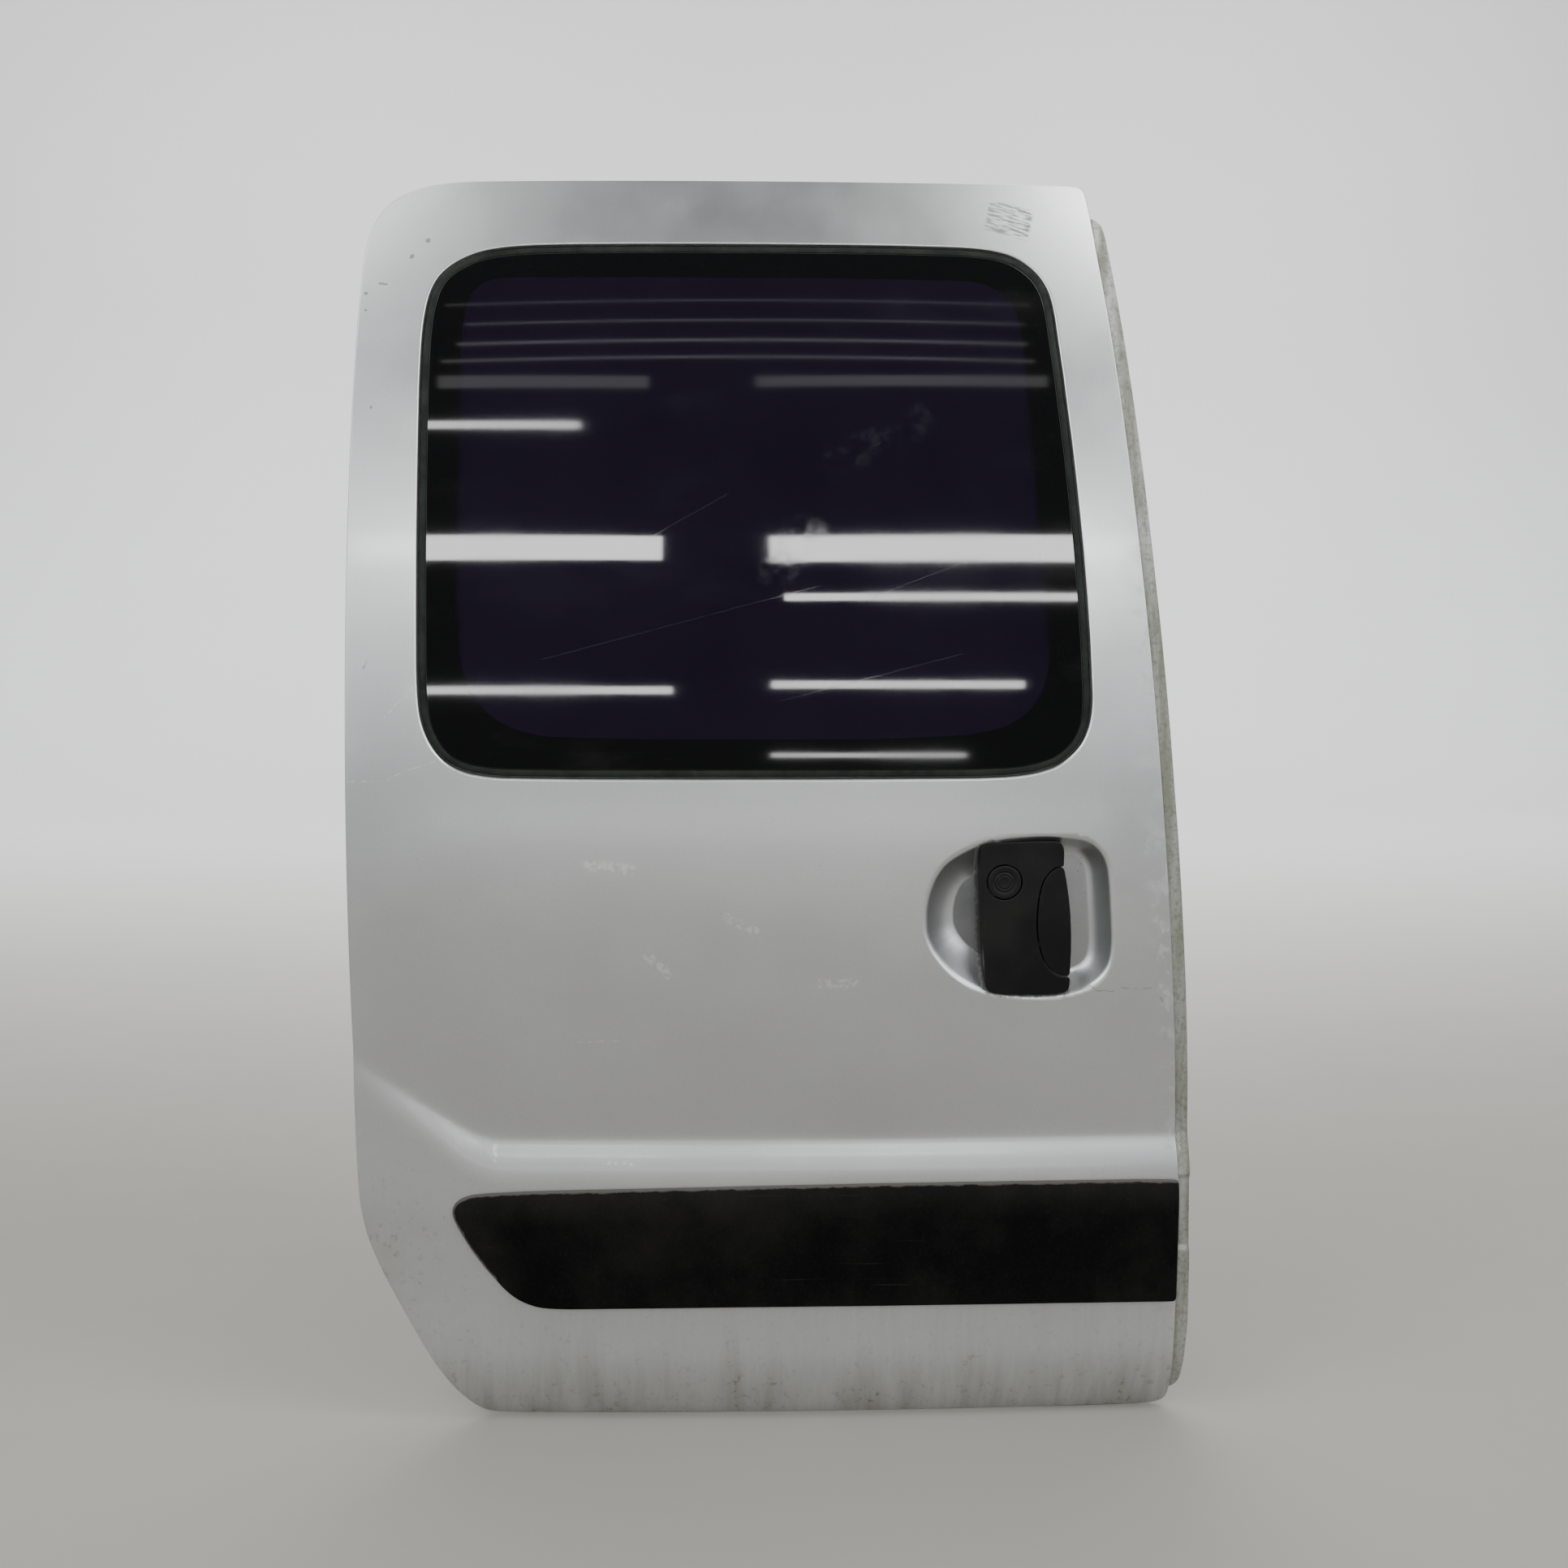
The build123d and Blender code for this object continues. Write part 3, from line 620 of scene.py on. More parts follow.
    # painted shade and painted reflection: the flat floor of the recess is darkened bluish grey where the handle body's
    # shadow and mirror image fall, slightly uneven
    recess_shade = m.attr("recess_shade")
    col = m.mix(m.math("MULTIPLY", recess_shade, m.lin(m.noise(26.0, 4.0, 0.6), 0.3, 0.7, 0.86, 1.0)), col, (0.085, 0.087, 0.095))
    col = m.mix(m.math("MULTIPLY", gr, 0.85), col, (0.022, 0.02, 0.017))
    rough = m.math("ADD", m.lin(m.noise(9.0, 4.0, 0.6), 0.3, 0.7, 0.30, 0.37), m.math("MULTIPLY", film, 0.25))
    rough = m.math("ADD", rough, m.math("MULTIPLY", m.math("MAXIMUM", patch, m.math("MAXIMUM", dark, edge)), 0.3), clamp=True)
    metal = m.math("MULTIPLY", m.math("SUBTRACT", 1.0, m.math("MAXIMUM", film, m.math("MAXIMUM", m.math("MAXIMUM", patch, gr), edge))), 0.92, clamp=True)
    peel = m.bump(m.noise(240.0, 1.0), 0.03, 0.0004)
    m.set(Base_Color=col, Metallic=metal, Roughness=rough, Normal=peel)
    m.b.inputs["Coat Weight"].default_value = 0.45
    m.b.inputs["Coat Roughness"].default_value = 0.10
    return m.m


def flange_material():
    m = Mat("strip_paint")
    runs = m.noise(26.0, 5.0, 0.65, stretch=(3.0, 1.0, 0.3))
    g = m.step(runs, 0.36, 0.66)
    fine = m.step(m.noise(210.0, 3.0, 0.7), 0.46, 0.66)
    col = m.mix(m.math("MULTIPLY", g, 0.8), (0.27, 0.275, 0.255), (0.105, 0.107, 0.066))
    col = m.mix(m.math("MULTIPLY", fine, 0.45), col, (0.06, 0.057, 0.038))
    rub = m.step(m.noise(18.0, 3.0, 0.6, stretch=(1.0, 1.0, 0.4)), 0.60, 0.72)
    col = m.mix(m.math("MULTIPLY", rub, 0.5), col, (0.38, 0.38, 0.37))
    m.set(Base_Color=col, Metallic=m.math("MULTIPLY", m.math("SUBTRACT", 1.0, g), 0.5), Roughness=m.lin(g, 0, 1, 0.42, 0.7),
          Normal=m.bump(m.noise(320.0, 3.0, 0.6), 0.12, 0.0006))
    return m.m


def glass_material():
    m = Mat("tinted_glass")
    fr = m.attr("frit")          # mm, positive inside the clear area
    ed = m.attr("rim")           # mm from the glass edge
    # halftone dots beside the black border, at the two sides
    cx = m.math("FRACT", m.math("MULTIPLY", m.math("ADD", m.x, m.math("MULTIPLY", m.math("FLOOR", m.math("MULTIPLY", m.z, 385.0)), 0.0013)), 385.0))
    cz = m.math("FRACT", m.math("MULTIPLY", m.z, 385.0))
    dx = m.math("SUBTRACT", cx, 0.5)
    dz = m.math("SUBTRACT", cz, 0.5)
    r2 = m.math("SQRT", m.math("ADD", m.math("MULTIPLY", dx, dx), m.math("MULTIPLY", dz, dz)))
    size = m.lin(fr, 0.0, 7.5, 0.52, 0.12)
    dot = m.step(m.math("SUBTRACT", size, r2), -0.05, 0.05)
    side = m.math("MULTIPLY", m.step(m.z, 0.185, 0.215), m.step(m.z, 0.50, 0.46))
    near = m.math("MULTIPLY", m.step(fr, 7.5, 7.0), side)
    black = m.math("MAXIMUM", m.step(fr, 0.25, -0.25), m.math("MULTIPLY", dot, near))
    haze = m.lin(m.noise(4.0, 5.0, 0.6), 0.35, 0.7, 0.85, 1.2)
    film = m.n("ShaderNodeVectorMath", operation="SCALE")
    film.inputs[0].default_value = (0.0080, 0.0053, 0.0132)
    m.put(film.inputs["Scale"], haze)
    smear = m.math("MULTIPLY", m.step(m.noise(7.0, 5.0, 0.62, stretch=(0.6, 1, 1.4)), 0.52, 0.78), 0.018)
    dust = m.math("MULTIPLY", m.step(m.noise(420.0, 2.0, 0.7), 0.60, 0.78), 0.012)
    col = m.mix(black, film.outputs[0], (0.0026, 0.0026, 0.0028))
    col = m.mix(m.math("ADD", smear, dust), col, (0.42, 0.41, 0.40))
    w = m.warp(2.0, 60.0)
    scr = m.most([m.capsule(150, 190, 420, 262, 0.25, 1.0, vec=w), m.capsule(380, 150, 560, 196, 0.25, 1.0, vec=w),
                  m.capsule(240, 300, 330, 352, 0.25, 1.0, vec=w), m.capsule(470, 250, 600, 300, 0.22, 1.0, vec=w)])
    col = m.mix(m.math("MULTIPLY", scr, 0.03), col, (0.6, 0.6, 0.6))
    blot = m.most([m.capsule(375, 270, 410, 318, 11, 1.4, vec=m.warp(26, 24)), m.capsule(440, 385, 520, 425, 9, 1.6, vec=m.warp(26, 24))])
    blot = m.math("MULTIPLY", blot, m.step(m.noise(60, 4, 0.6), 0.42, 0.7))
    col = m.mix(m.math("MULTIPLY", blot, 0.020), col, (0.6, 0.58, 0.56))
    rough = m.math("ADD", m.lin(m.noise(6.0, 4.0), 0.3, 0.7, 0.025, 0.055), m.math("MULTIPLY", m.math("MAXIMUM", blot, scr), 0.045))
    m.set(Base_Color=col, Roughness=rough, Transmission_Weight=m.lin(black, 0, 1, 0.5, 0.0))
    m.b.inputs["IOR"].default_value = 1.52
    return m.m


def seal_material():
    m = Mat("window_seal_rubber")
    g = m.noise(34.0, 5.0, 0.65)
    col = m.mix(m.step(g, 0.36, 0.66), (0.0105, 0.0135, 0.0105), (0.005, 0.006, 0.005))
    fine = m.step(m.noise(300.0, 3.0, 0.7), 0.50, 0.70)
    col = m.mix(m.math("MULTIPLY", fine, 0.25), col, (0.024, 0.026, 0.021))
    m.b.inputs["Specular IOR Level"].default_value = 0.14
    m.set(Base_Color=col, Roughness=m.lin(g, 0.3, 0.7, 0.55, 0.75), Normal=m.bump(m.noise(420.0, 2.0), 0.12, 0.0004))
    return m.m


def plastic_material(name, base, dust, rough=(0.42, 0.55), grain=900.0, gstr=0.25, dust_amt=0.3, low_dust=0.0):
    m = Mat(name)
    n1 = m.noise(11.0, 5.0, 0.6)
    d = m.math("MULTIPLY", m.step(n1, 0.42, 0.72), dust_amt)
    fine = m.step(m.noise(380.0, 3.0, 0.7), 0.52, 0.72)
    d = m.math("ADD", d, m.math("MULTIPLY", fine, dust_amt * 0.35), clamp=True)
    col = m.mix(d, base, dust)
    m.set(Base_Color=col, Roughness=m.lin(n1, 0.3, 0.7, rough[0], rough[1]),
          Normal=m.bump(m.voronoi(grain, feature="SMOOTH_F1"), gstr, 0.0003))
    return m


def moulding_material():
    m = Mat("moulding_plastic")
    n1 = m.noise(9.0, 5.0, 0.62)
    fine = m.step(m.noise(330.0, 3.0, 0.72), 0.50, 0.72)
    up = m.attr("bevel")
    d = m.math("MULTIPLY", m.step(n1, 0.36, 0.74), 0.022)
    d = m.math("ADD", d, m.math("MULTIPLY", up, 0.016))
    rag = m.noise(90.0, 4.0, 0.7)
    lip = m.math("MULTIPLY", m.step(m.math("SUBTRACT", m.attr("top"), m.math("MULTIPLY", rag, 5.0)), 0.6, -1.2), 0.30)
    d = m.math("ADD", m.math("ADD", d, m.math("MULTIPLY", fine, 0.014)), lip, clamp=True)
    scr = m.step(m.noise(40.0, 2.0, 0.5, stretch=(0.12, 1.0, 6.0)), 0.68, 0.74)
    d = m.math("ADD", d, m.math("MULTIPLY", scr, 0.05), clamp=True)
    col = m.mix(d, (0.0011, 0.0011, 0.0012), (0.20, 0.19, 0.165))
    m.set(Base_Color=col, Roughness=m.lin(n1, 0.3, 0.7, 0.40, 0.52), Normal=m.bump(m.voronoi(760.0, feature="SMOOTH_F1"), 0.18, 0.0004))
    m.b.inputs["Specular IOR Level"].default_value = 0.06
    return m.m


def steel_material():
    m = Mat("plated_steel")
    n1 = m.noise(30.0, 5.0, 0.6)
    rust = m.math("MULTIPLY", m.step(m.noise(16.0, 5.0, 0.68), 0.58, 0.72), m.step(m.noise(140.0, 3.0, 0.7), 0.35, 0.6))
    col = m.mix(m.step(n1, 0.3, 0.7), (0.27, 0.265, 0.25), (0.20, 0.196, 0.185))
    col = m.mix(m.math("MULTIPLY", rust, 0.75), col, (0.14, 0.07, 0.035))
    m.set(Base_Color=col, Metallic=m.lin(rust, 0, 1, 0.85, 0.1), Roughness=m.lin(n1, 0.3, 0.7, 0.36, 0.52), Normal=m.bump(m.noise(500.0, 3.0), 0.15, 0.0004))
    return m.m


def roller_material():
    m = Mat("roller_plastic")
    n1 = m.noise(60.0, 5.0, 0.6)
    col = m.mix(m.step(n1, 0.40, 0.68), (0.56, 0.54, 0.46), (0.20, 0.185, 0.15))
    m.set(Base_Color=col, Roughness=m.lin(n1, 0.3, 0.7, 0.32, 0.5), Normal=m.bump(n1, 0.08, 0.0004))
    return m.m


def floor_material():
    m = Mat("studio_floor")
    n1 = m.noise(1.3, 3.0)
    near = m.mix(n1, (0.245, 0.232, 0.205), (0.268, 0.255, 0.227))
    far = m.mix(n1, (0.60, 0.597, 0.585), (0.63, 0.627, 0.615))
    col = m.mix(m.step(m.y, 0.4, 4.5), near, far)
    m.set(Base_Color=col, Roughness=m.lin(m.noise(6.0, 3.0), 0.3, 0.7, 0.62, 0.72))
    return m.m


PAINT = paint_material()
STRIP = flange_material()
GLASS = glass_material()
SEAL = seal_material()
MOULD = moulding_material()
STEEL = steel_material()
ROLLER = roller_material()
HM = plastic_material("handle_plastic", (0.0030, 0.0030, 0.0032), (0.16, 0.15, 0.135), (0.36, 0.46), 1300.0, 0.10, 0.030)
HM.b.inputs["Specular IOR Level"].default_value = 0.14
HANDLE = HM.m
RUBBER = plastic_material("black_rubber", (0.014, 0.014, 0.014), (0.16, 0.15, 0.13), (0.6, 0.75), 700.0, 0.2, 0.12).m
TRIM = plastic_material("trim_plastic", (0.075, 0.077, 0.082), (0.22, 0.21, 0.19), (0.55, 0.68), 420.0, 0.5, 0.10).m


def inner_paint():
    m = Mat("inner_paint")
    n1 = m.noise(6.0, 5.0, 0.6)
    runs = m.noise(20.0, 4.0, 0.6, stretch=(3.0, 1.0, 0.35))
    film = m.math("MULTIPLY", m.step(runs, 0.40, 0.72), m.step(m.z, 0.35, -0.5, 0.12, 0.65))
    col = m.mix(m.step(n1, 0.3, 0.7), (0.37, 0.372, 0.375), (0.33, 0.332, 0.335))
    col = m.mix(film, col, (0.17, 0.155, 0.115))
    fine = m.step(m.noise(160.0, 3.0, 0.7), 0.60, 0.74)
    col = m.mix(m.math("MULTIPLY", fine, 0.2), col, (0.10, 0.095, 0.08))
    m.set(Base_Color=col, Metallic=m.math("MULTIPLY", m.math("SUBTRACT", 1.0, film), 0.45), Roughness=m.lin(n1, 0.3, 0.7, 0.42, 0.55),
          Normal=m.bump(m.noise(260.0, 2.0), 0.05, 0.0005))
    return m.m


INNER = inner_paint()

# ------------------------------------------------------------------ skin with the pressed hand recess
DISH = closed_curve(DISH_PTS, 0.8, 3.0)
DISH_H = 21.0


def dish_width(x):
    """Width of the scooped wall: wide at the rear end, narrow at the front end."""
    t = np.clip((x - 590.0) / 60.0, 0, 1)
    return 31.0 - 12.0 * t * t * (3 - 2 * t)


def dish_depth(x, z):
    x = np.asarray(x, float)
    z = np.asarray(z, float)
    out = np.zeros_like(x)
    near = (x > 510) & (x < 725) & (z > -157) & (z < 30)
    if near.any():
        d = sdist(np.c_[x[near], z[near]], DISH)
        t = np.clip((d + 2.5) / (dish_width(x[near]) + 2.5), 0, 1)
        u = t - 0.2
        g = np.where(t < 0.2, 2.5 * t * t, 0.1 + u - 0.82 / 0.8 * u * u / 2)
        out[near] = DISH_H * g / 0.572
    return out


def skin_y(x, z):
    return S(x, z) + dish_depth(x, z)


outer = closed_curve(SKIN_PTS, 3.0, 3.0)
aper = closed_curve(APER_PTS, 2.5, 4.0)
HEM = 1.5
outer_in = outer - loop_normals(outer) * HEM
aper_out = aper + loop_normals(aper) * 2.6
zs = np.concatenate([np.arange(-584, -500, 6.0), np.arange(-500, -352, 11.0), np.arange(-350, -190, 3.6), np.arange(-188, 690, 11.0)])
gA = grid_pts(np.arange(-40, 800, 11.0), zs)
spA = np.full(len(gA), 7.0)
inD = (gA[:, 0] > 512) & (gA[:, 0] < 722) & (gA[:, 1] > -154) & (gA[:, 1] < 28)
gA, spA = gA[~inD], spA[~inD]
gB = grid_pts(np.arange(513, 722, 2.6), np.arange(-153, 28, 2.6))
dB = sdist(gB, DISH)
gB = gB[(dB < -4) | (dB > dish_width(gB[:, 0]) + 2.0)]
rings = []
for k in (-0.08, -0.04, 0.0, 0.05, 0.1, 0.15, 0.2, 0.27, 0.34, 0.42, 0.5, 0.58, 0.66, 0.74, 0.82, 0.9, 0.97, 1.03):
    rings.append(respace(DISH - loop_normals(DISH) * (k * (dish_width(DISH[:, 0])))[:, None], 2.0))
gB = np.vstack([gB] + rings)
spB = np.full(len(gB), 2.0)
near1 = [outer_in - loop_normals(outer_in) * d for d in (4.0, 10.0)] + [aper_out + loop_normals(aper_out) * d for d in (4.0, 10.0)]
gC = np.vstack([respace(c, 5.0) for c in near1])
spC = np.full(len(gC), 3.0)
skin = Sheet(outer_in, [aper_out], skin_y, np.vstack([gA, gB, gC]), np.r_[spA, spB, spC])
skin.rim(0, arc_steps(HEM, 0, 180, 6) + [(-4.0, 3.0), (-9.0, 3.0)], True)
skin.rim(1, arc_steps(2.6, 0, 90, 5) + [(2.6, 5.0), (2.6, 8.5)], False)
o = skin.build("door_skin", PAINT, 0.7)
co = np.empty(len(o.data.vertices) * 3)
o.data.vertices.foreach_get("co", co)
co = co.reshape(-1, 3)[:, [0, 2]] * 1000.0
bl = np.array(BODY_L + LEVER_PTS[15:])
val = np.full(len(co), 99.0)
nb = (co[:, 0] > 540) & (co[:, 0] < 720) & (co[:, 1] > -160) & (co[:, 1] < 35)
val[nb] = dist_to(co[nb], bl)
# painted shade for the flat floor of the recess: strength 0.86 at the rear end, falling to 0.48 at the front end
recess_shade = np.zeros(len(co))
dd = sdist(co[nb], DISH) - dish_width(co[nb][:, 0])
side_w = np.clip((co[nb][:, 0] - 600.0) / 50.0, 0, 1)
recess_shade[nb] = np.clip((dd + 0.8) / 1.6, 0, 1) * (0.86 - 0.38 * side_w)
at = o.data.attributes.new("recess_shade", "FLOAT", "POINT")
at.data.foreach_set("value", recess_shade)
at = o.data.attributes.new("grime", "FLOAT", "POINT")
at.data.foreach_set("value", val)
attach(o, "door")
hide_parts("outer_skin", "handle_dish")

# ------------------------------------------------------------------ front strip with its joggle
strip_loop = closed_curve(STRIP_PTS, 3.0, 1.6)


def strip_y(x, z):
    z = np.asarray(z, float)
    a = np.clip((z + 331.0) / -6.0, 0, 1)
    b = np.clip((z + 406.0) / -6.0, 0, 1)
    jog = a * a * (3 - 2 * a) - b * b * (3 - 2 * b)
    return S(x, z) + 3.0 + 3.6 * jog


gs = grid_pts(np.arange(690, 806, 5.0), np.concatenate([np.arange(-562, -420, 9.0), np.arange(-418, -322, 2.0), np.arange(-320, 642, 9.0)]))
st = Sheet(strip_loop - loop_normals(strip_loop) * 1.0, [], strip_y, gs, np.full(len(gs), 3.0))
st.rim(0, arc_steps(1.0, 0, 90, 3) + [(1.0, 3.0)], True)
o = st.build("front_strip", STRIP, 0.7)
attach(o, "door")
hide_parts("front_flange")

# ------------------------------------------------------------------ window: seal and glass
V, F = loft_loops("seal", aper, [(-1.9, 6.0), (-1.9, 2.4), (-2.3, 1.7), (-3.0, 1.35), (-4.5, 1.2), (-7.0, 1.25), (-8.0, 1.5), (-8.5, 2.1), (-8.5, 6.0)], SEAL)
o = make_obj("window_seal_ring", V, F, SEAL)
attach(o, "door")
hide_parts("window_seal")

g_loop = aper - loop_normals(aper) * 9.2
g_loop = respace(g_loop, 3.0)


def glass_y(x, z):
    return S(x, z) + 1.15


gg = grid_pts(np.arange(20, 700, 7.0), np.arange(70, 615, 7.0))
frit_loop = closed_curve(FRIT_PTS, 1.5, 5.0)
gl = Sheet(g_loop, [], glass_y, gg, np.full(len(gg), 5.0))
gl.rim(0, arc_steps(0.45, 0, 90, 3) + [(0.45, 2.5)], True)
o = gl.build("window_pane", GLASS, 3.2)
me = o.data
co = np.empty(len(me.vertices) * 3)
me.vertices.foreach_get("co", co)
co = co.reshape(-1, 3)[:, [0, 2]] * 1000.0
at = me.attributes.new("frit", "FLOAT", "POINT")
at.data.foreach_set("value", sdist(co, frit_loop))
at = me.attributes.new("rim", "FLOAT", "POINT")
at.data.foreach_set("value", dist_to(co, g_loop))
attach(o, "door")
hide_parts("window_glass")

# ------------------------------------------------------------------ lower moulding
m_loop = closed_curve(MOULD_PTS, 3.0, 2.0)
m_top = np.array(MOULD_PTS[:28])


def mould_y(x, z):
    p = np.c_[np.atleast_1d(np.asarray(x, float)), np.atleast_1d(np.asarray(z, float))]
    d = dist_to(p, m_top, closed=False)
    t = np.clip(d / 34.0, 0, 1)
    return S(p[:, 0], p[:, 1]) - 2.6 - 4.0 * (1 - (1 - t) ** 2)


m_in = m_loop - loop_normals(m_loop) * 1.6
gm = grid_pts(np.arange(50, 790, 8.0), np.arange(-462, -332, 4.0))
md = Sheet(m_in, [], mould_y, gm, np.full(len(gm), 3.0))
md.rim(0, arc_steps(1.6, 0, 90, 4) + [(1.6, 2.4)], True)
o = md.build("lower_moulding_strip", MOULD, 0.9)
me = o.data
co = np.empty(len(me.vertices) * 3)
me.vertices.foreach_get("co", co)
co = co.reshape(-1, 3)[:, [0, 2]] * 1000.0
dt = dist_to(co, m_top, closed=False)
at = me.attributes.new("bevel", "FLOAT", "POINT")
at.data.foreach_set("value", np.clip(1.25 - dt / 30.0, 0, 1))
at = me.attributes.new("top", "FLOAT", "POINT")
at.data.foreach_set("value", dt)
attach(o, "door")
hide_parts("lower_moulding")

# ------------------------------------------------------------------ handle
LOCKC = (601.7, -27.2)
lp = closed_curve(LEVER_PTS, 0.8, 1.0)
grown = lp + loop_normals(lp) * 0.9
free_z = [-123.0, -120.4, -111.9, -95.4, -79.0, -58.6, -42.3, -26.1, -15.0, -11.0]
free_x = [669.0, 669.2, 669.7, 669.9, 669.5, 668.2, 666.2, 663.5, 661.2, 660.4]
# the pocket's curved side only, from its bottom end to its top end
cres_up = sorted([(float(q[0]), float(q[1])) for q in grown if q[0] < np.interp(q[1], free_z, free_x) - 3.0], key=lambda q: q[1])
body_pts = BODY_L + cres_up
b_loop = closed_curve(body_pts, 1.2, 0.9)
lock_loop = np.array([[LOCKC[0] + 17.6 * math.cos(a), LOCKC[1] + 17.6 * math.sin(a)] for a in np.linspace(0, 2 * math.pi, 72, endpoint=False)])


def body_y(x, z):
    x = np.asarray(x, float)
    return S(x, z) - 2.3 + 0.0009 * (x - 618.0) ** 2 * 0.6


gb = grid_pts(np.arange(577, 671, 3.0), np.arange(-141, 14, 3.0))
b_in = b_loop - loop_normals(b_loop) * 1.2
bd = Sheet(b_in, [lock_loop + (lock_loop - np.array(LOCKC)) / 17.6 * 0.8], body_y, gb, np.full(len(gb), 2.4))
bd.rim(0, arc_steps(1.2, 0, 90, 4) + [(1.2, 6.0), (1.2, 17.5)], True)
bd.rim(1, arc_steps(0.8, 0, 90, 3) + [(0.8, 5.0)], False)
o = bd.build("handle_housing", HANDLE, 1.0)
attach(o, "door")
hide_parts("handle_body")

l_in = closed_curve(LEVER_PTS, 1.2, 1.0)
l_in = l_in - loop_normals(l_in) * 1.0
glv = grid_pts(np.arange(635, 671, 2.0), np.arange(-123, -12, 2.0))


def lever_y(x, z):
    x = np.asarray(x, float)
    return S(x, z) - 2.3 + 0.0009 * (x - 618.0) ** 2 * 0.6 + 0.02 * np.maximum(x - 640.0, 0.0)


lv = Sheet(l_in, [], lever_y, glv, np.full(len(glv), 1.7))
lv.rim(0, arc_steps(1.0, 0, 90, 4) + [(1.0, 5.6), (0.2, 6.2), (-3.0, 6.4)], True)
o = lv.build("pull_lever", HANDLE, 0.9)
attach(o, "lever")
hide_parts("handle_lever")


def lathe(name, cx, cz, y0, prof, mat, n=72, tilt=None):
    """Disc about the Y axis from (radius, depth) pairs, centre closed at both ends."""
    V, F = [], []
    for r, d in prof:
        for k in range(n):
            a = 2 * math.pi * k / n
            V.append((cx + r * math.cos(a), y0 + d, cz + r * math.sin(a)))
    for i in range(len(prof) - 1):
        for k in range(n):
            j = (k + 1) % n
            F.append((i * n + k, i * n + j, (i + 1) * n + j, (i + 1) * n + k))
    V.append((cx, y0 + prof[0][1], cz))
    c0 = len(V) - 1
    V.append((cx, y0 + prof[-1][1], cz))
    c1 = len(V) - 1
    for k in range(n):
        j = (k + 1) % n
        F.append((c0, j, k))
        F.append((c1, (len(prof) - 1) * n + k, (len(prof) - 1) * n + j))
    return make_obj(name, V, F, mat)


ly = float(body_y(np.array([LOCKC[0]]), np.array([LOCKC[1]]))[0])
o = lathe("lock_cap", LOCKC[0], LOCKC[1], ly, [(5.2, 0.15), (5.8, 0.0), (6.4, 0.2), (7.0, 0.9), (7.6, 0.2), (8.4, -0.1), (9.2, 0.3), (9.8, 1.1), (10.6, 0.35),
    (12.0, 0.05), (15.0, -0.05), (16.2, 0.1), (16.5, 0.5), (16.5, 6.0), (8.0, 6.2)], HANDLE)
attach(o, "door")
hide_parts("lock_blank")

# ------------------------------------------------------------------ inner pan
pan_outer = outer - loop_normals(outer) * 2.4
PO = respace(pan_outer, 5.0)
AP = respace(aper, 5.0)


def pan_depth(p):
    d = np.maximum(sdist(p, PO), 0)
    w = -sdist(p, AP)                       # outside the aperture
    def ramp(v, a, b):
        t = np.clip((v - a) / (b - a), 0, 1)
        return t * t * (3 - 2 * t)
    outer_r = 1.2 + (35.6 - 1.2) * ramp(d, 11.0, 20.0)
    win = 12.2 + (35.6 - 12.2) * ramp(w, 4.0, 14.0)
    y = np.minimum(outer_r, win)
    # pressed beads on the pillars, header and below the trim
    def bead(x0, z0, x1, z1, r, h):
        a = np.array([x0, z0], float)
        ab = np.array([x1 - x0, z1 - z0], float)
        t = np.clip(((p - a) @ ab) / (ab @ ab), 0, 1)
        q = np.linalg.norm(p - a - t[:, None] * ab, axis=1)
        return h * (1 - ramp(q, r * 0.45, r))
    y = y - bead(-12, 150, -12, 390, 9, 4.0) - bead(-12, 470, -9, 560, 9, 4.0)
    y = y - bead(150, 645, 520, 646, 10, 4.0)
    y = y - bead(716, 150, 704, 330, 9, 4.0)
    y = y - bead(160, -520, 600, -520, 14, 5.0)
    return y


def pan_y(x, z):
    x = np.asarray(x, float)
    z = np.asarray(z, float)
    return S(x, z) + pan_depth(np.c_[x, z])


pa_in = aper - loop_normals(aper) * 25.0
gp = grid_pts(np.arange(-40, 800, 9.0), np.concatenate([np.arange(-582, -350, 9.0), np.arange(-350, -200, 5.0), np.arange(-198, 690, 9.0)]))
ringp = np.vstack([respace(PO - loop_normals(PO) * d, 4.0) for d in (4, 8, 11, 13.2, 15.5, 17.8, 20, 23)] +
                  [respace(AP + loop_normals(AP) * d, 4.0) for d in (-18, -10, -4, 1, 4, 6.5, 9, 11.5, 14, 17)])
spr = np.full(len(ringp), 2.2)
dr = np.minimum(dist_to(gp, PO), np.abs(sdist(gp, AP)))
gp = gp[dr > 26]
beads = [(-12, 150, -12, 390), (-12, 470, -9, 560), (150, 645, 520, 646), (716, 150, 704, 330), (160, -520, 600, -520)]
pn = Sheet(PO, [pa_in], pan_y, np.vstack([gp, ringp]), np.r_[np.full(len(gp), 5.0), spr])
v = np.array(pn.v)
o = pn.build("inner_pan", INNER, 0.8)
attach(o, "door")
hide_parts("inner_panel")

# ------------------------------------------------------------------ trim card with a moulded field
TRIM_PTS = [(60, 39.4), (660, 39.4), (675.0, 30), (677.6, 0), (679.4, -160), (688.4, -290), (686.0, -310), (650, -440), (628, -466), (600, -469.4),
            (170, -469.4), (130, -464), (70, -380), (47, -310), (46.4, -250), (46.4, 20), (50, 34)]
t_loop = closed_curve(TRIM_PTS, 4.0, 5.0)
t_in = t_loop - loop_normals(t_loop) * 1.6


def trim_y(x, z):
    p = np.c_[np.atleast_1d(np.asarray(x, float)), np.atleast_1d(np.asarray(z, float))]
    d = np.maximum(sdist(p, t_loop), 0)
    def ramp(v, a, b):
        t = np.clip((v - a) / (b - a), 0, 1)
        return t * t * (3 - 2 * t)
    y = S(p[:, 0], p[:, 1]) + 38.0 + 1.2 * ramp(d, 20, 30)
    f = 1 - ramp(np.abs(p[:, 1] + 250), 2.0, 6.0)
    return y - 1.2 * f


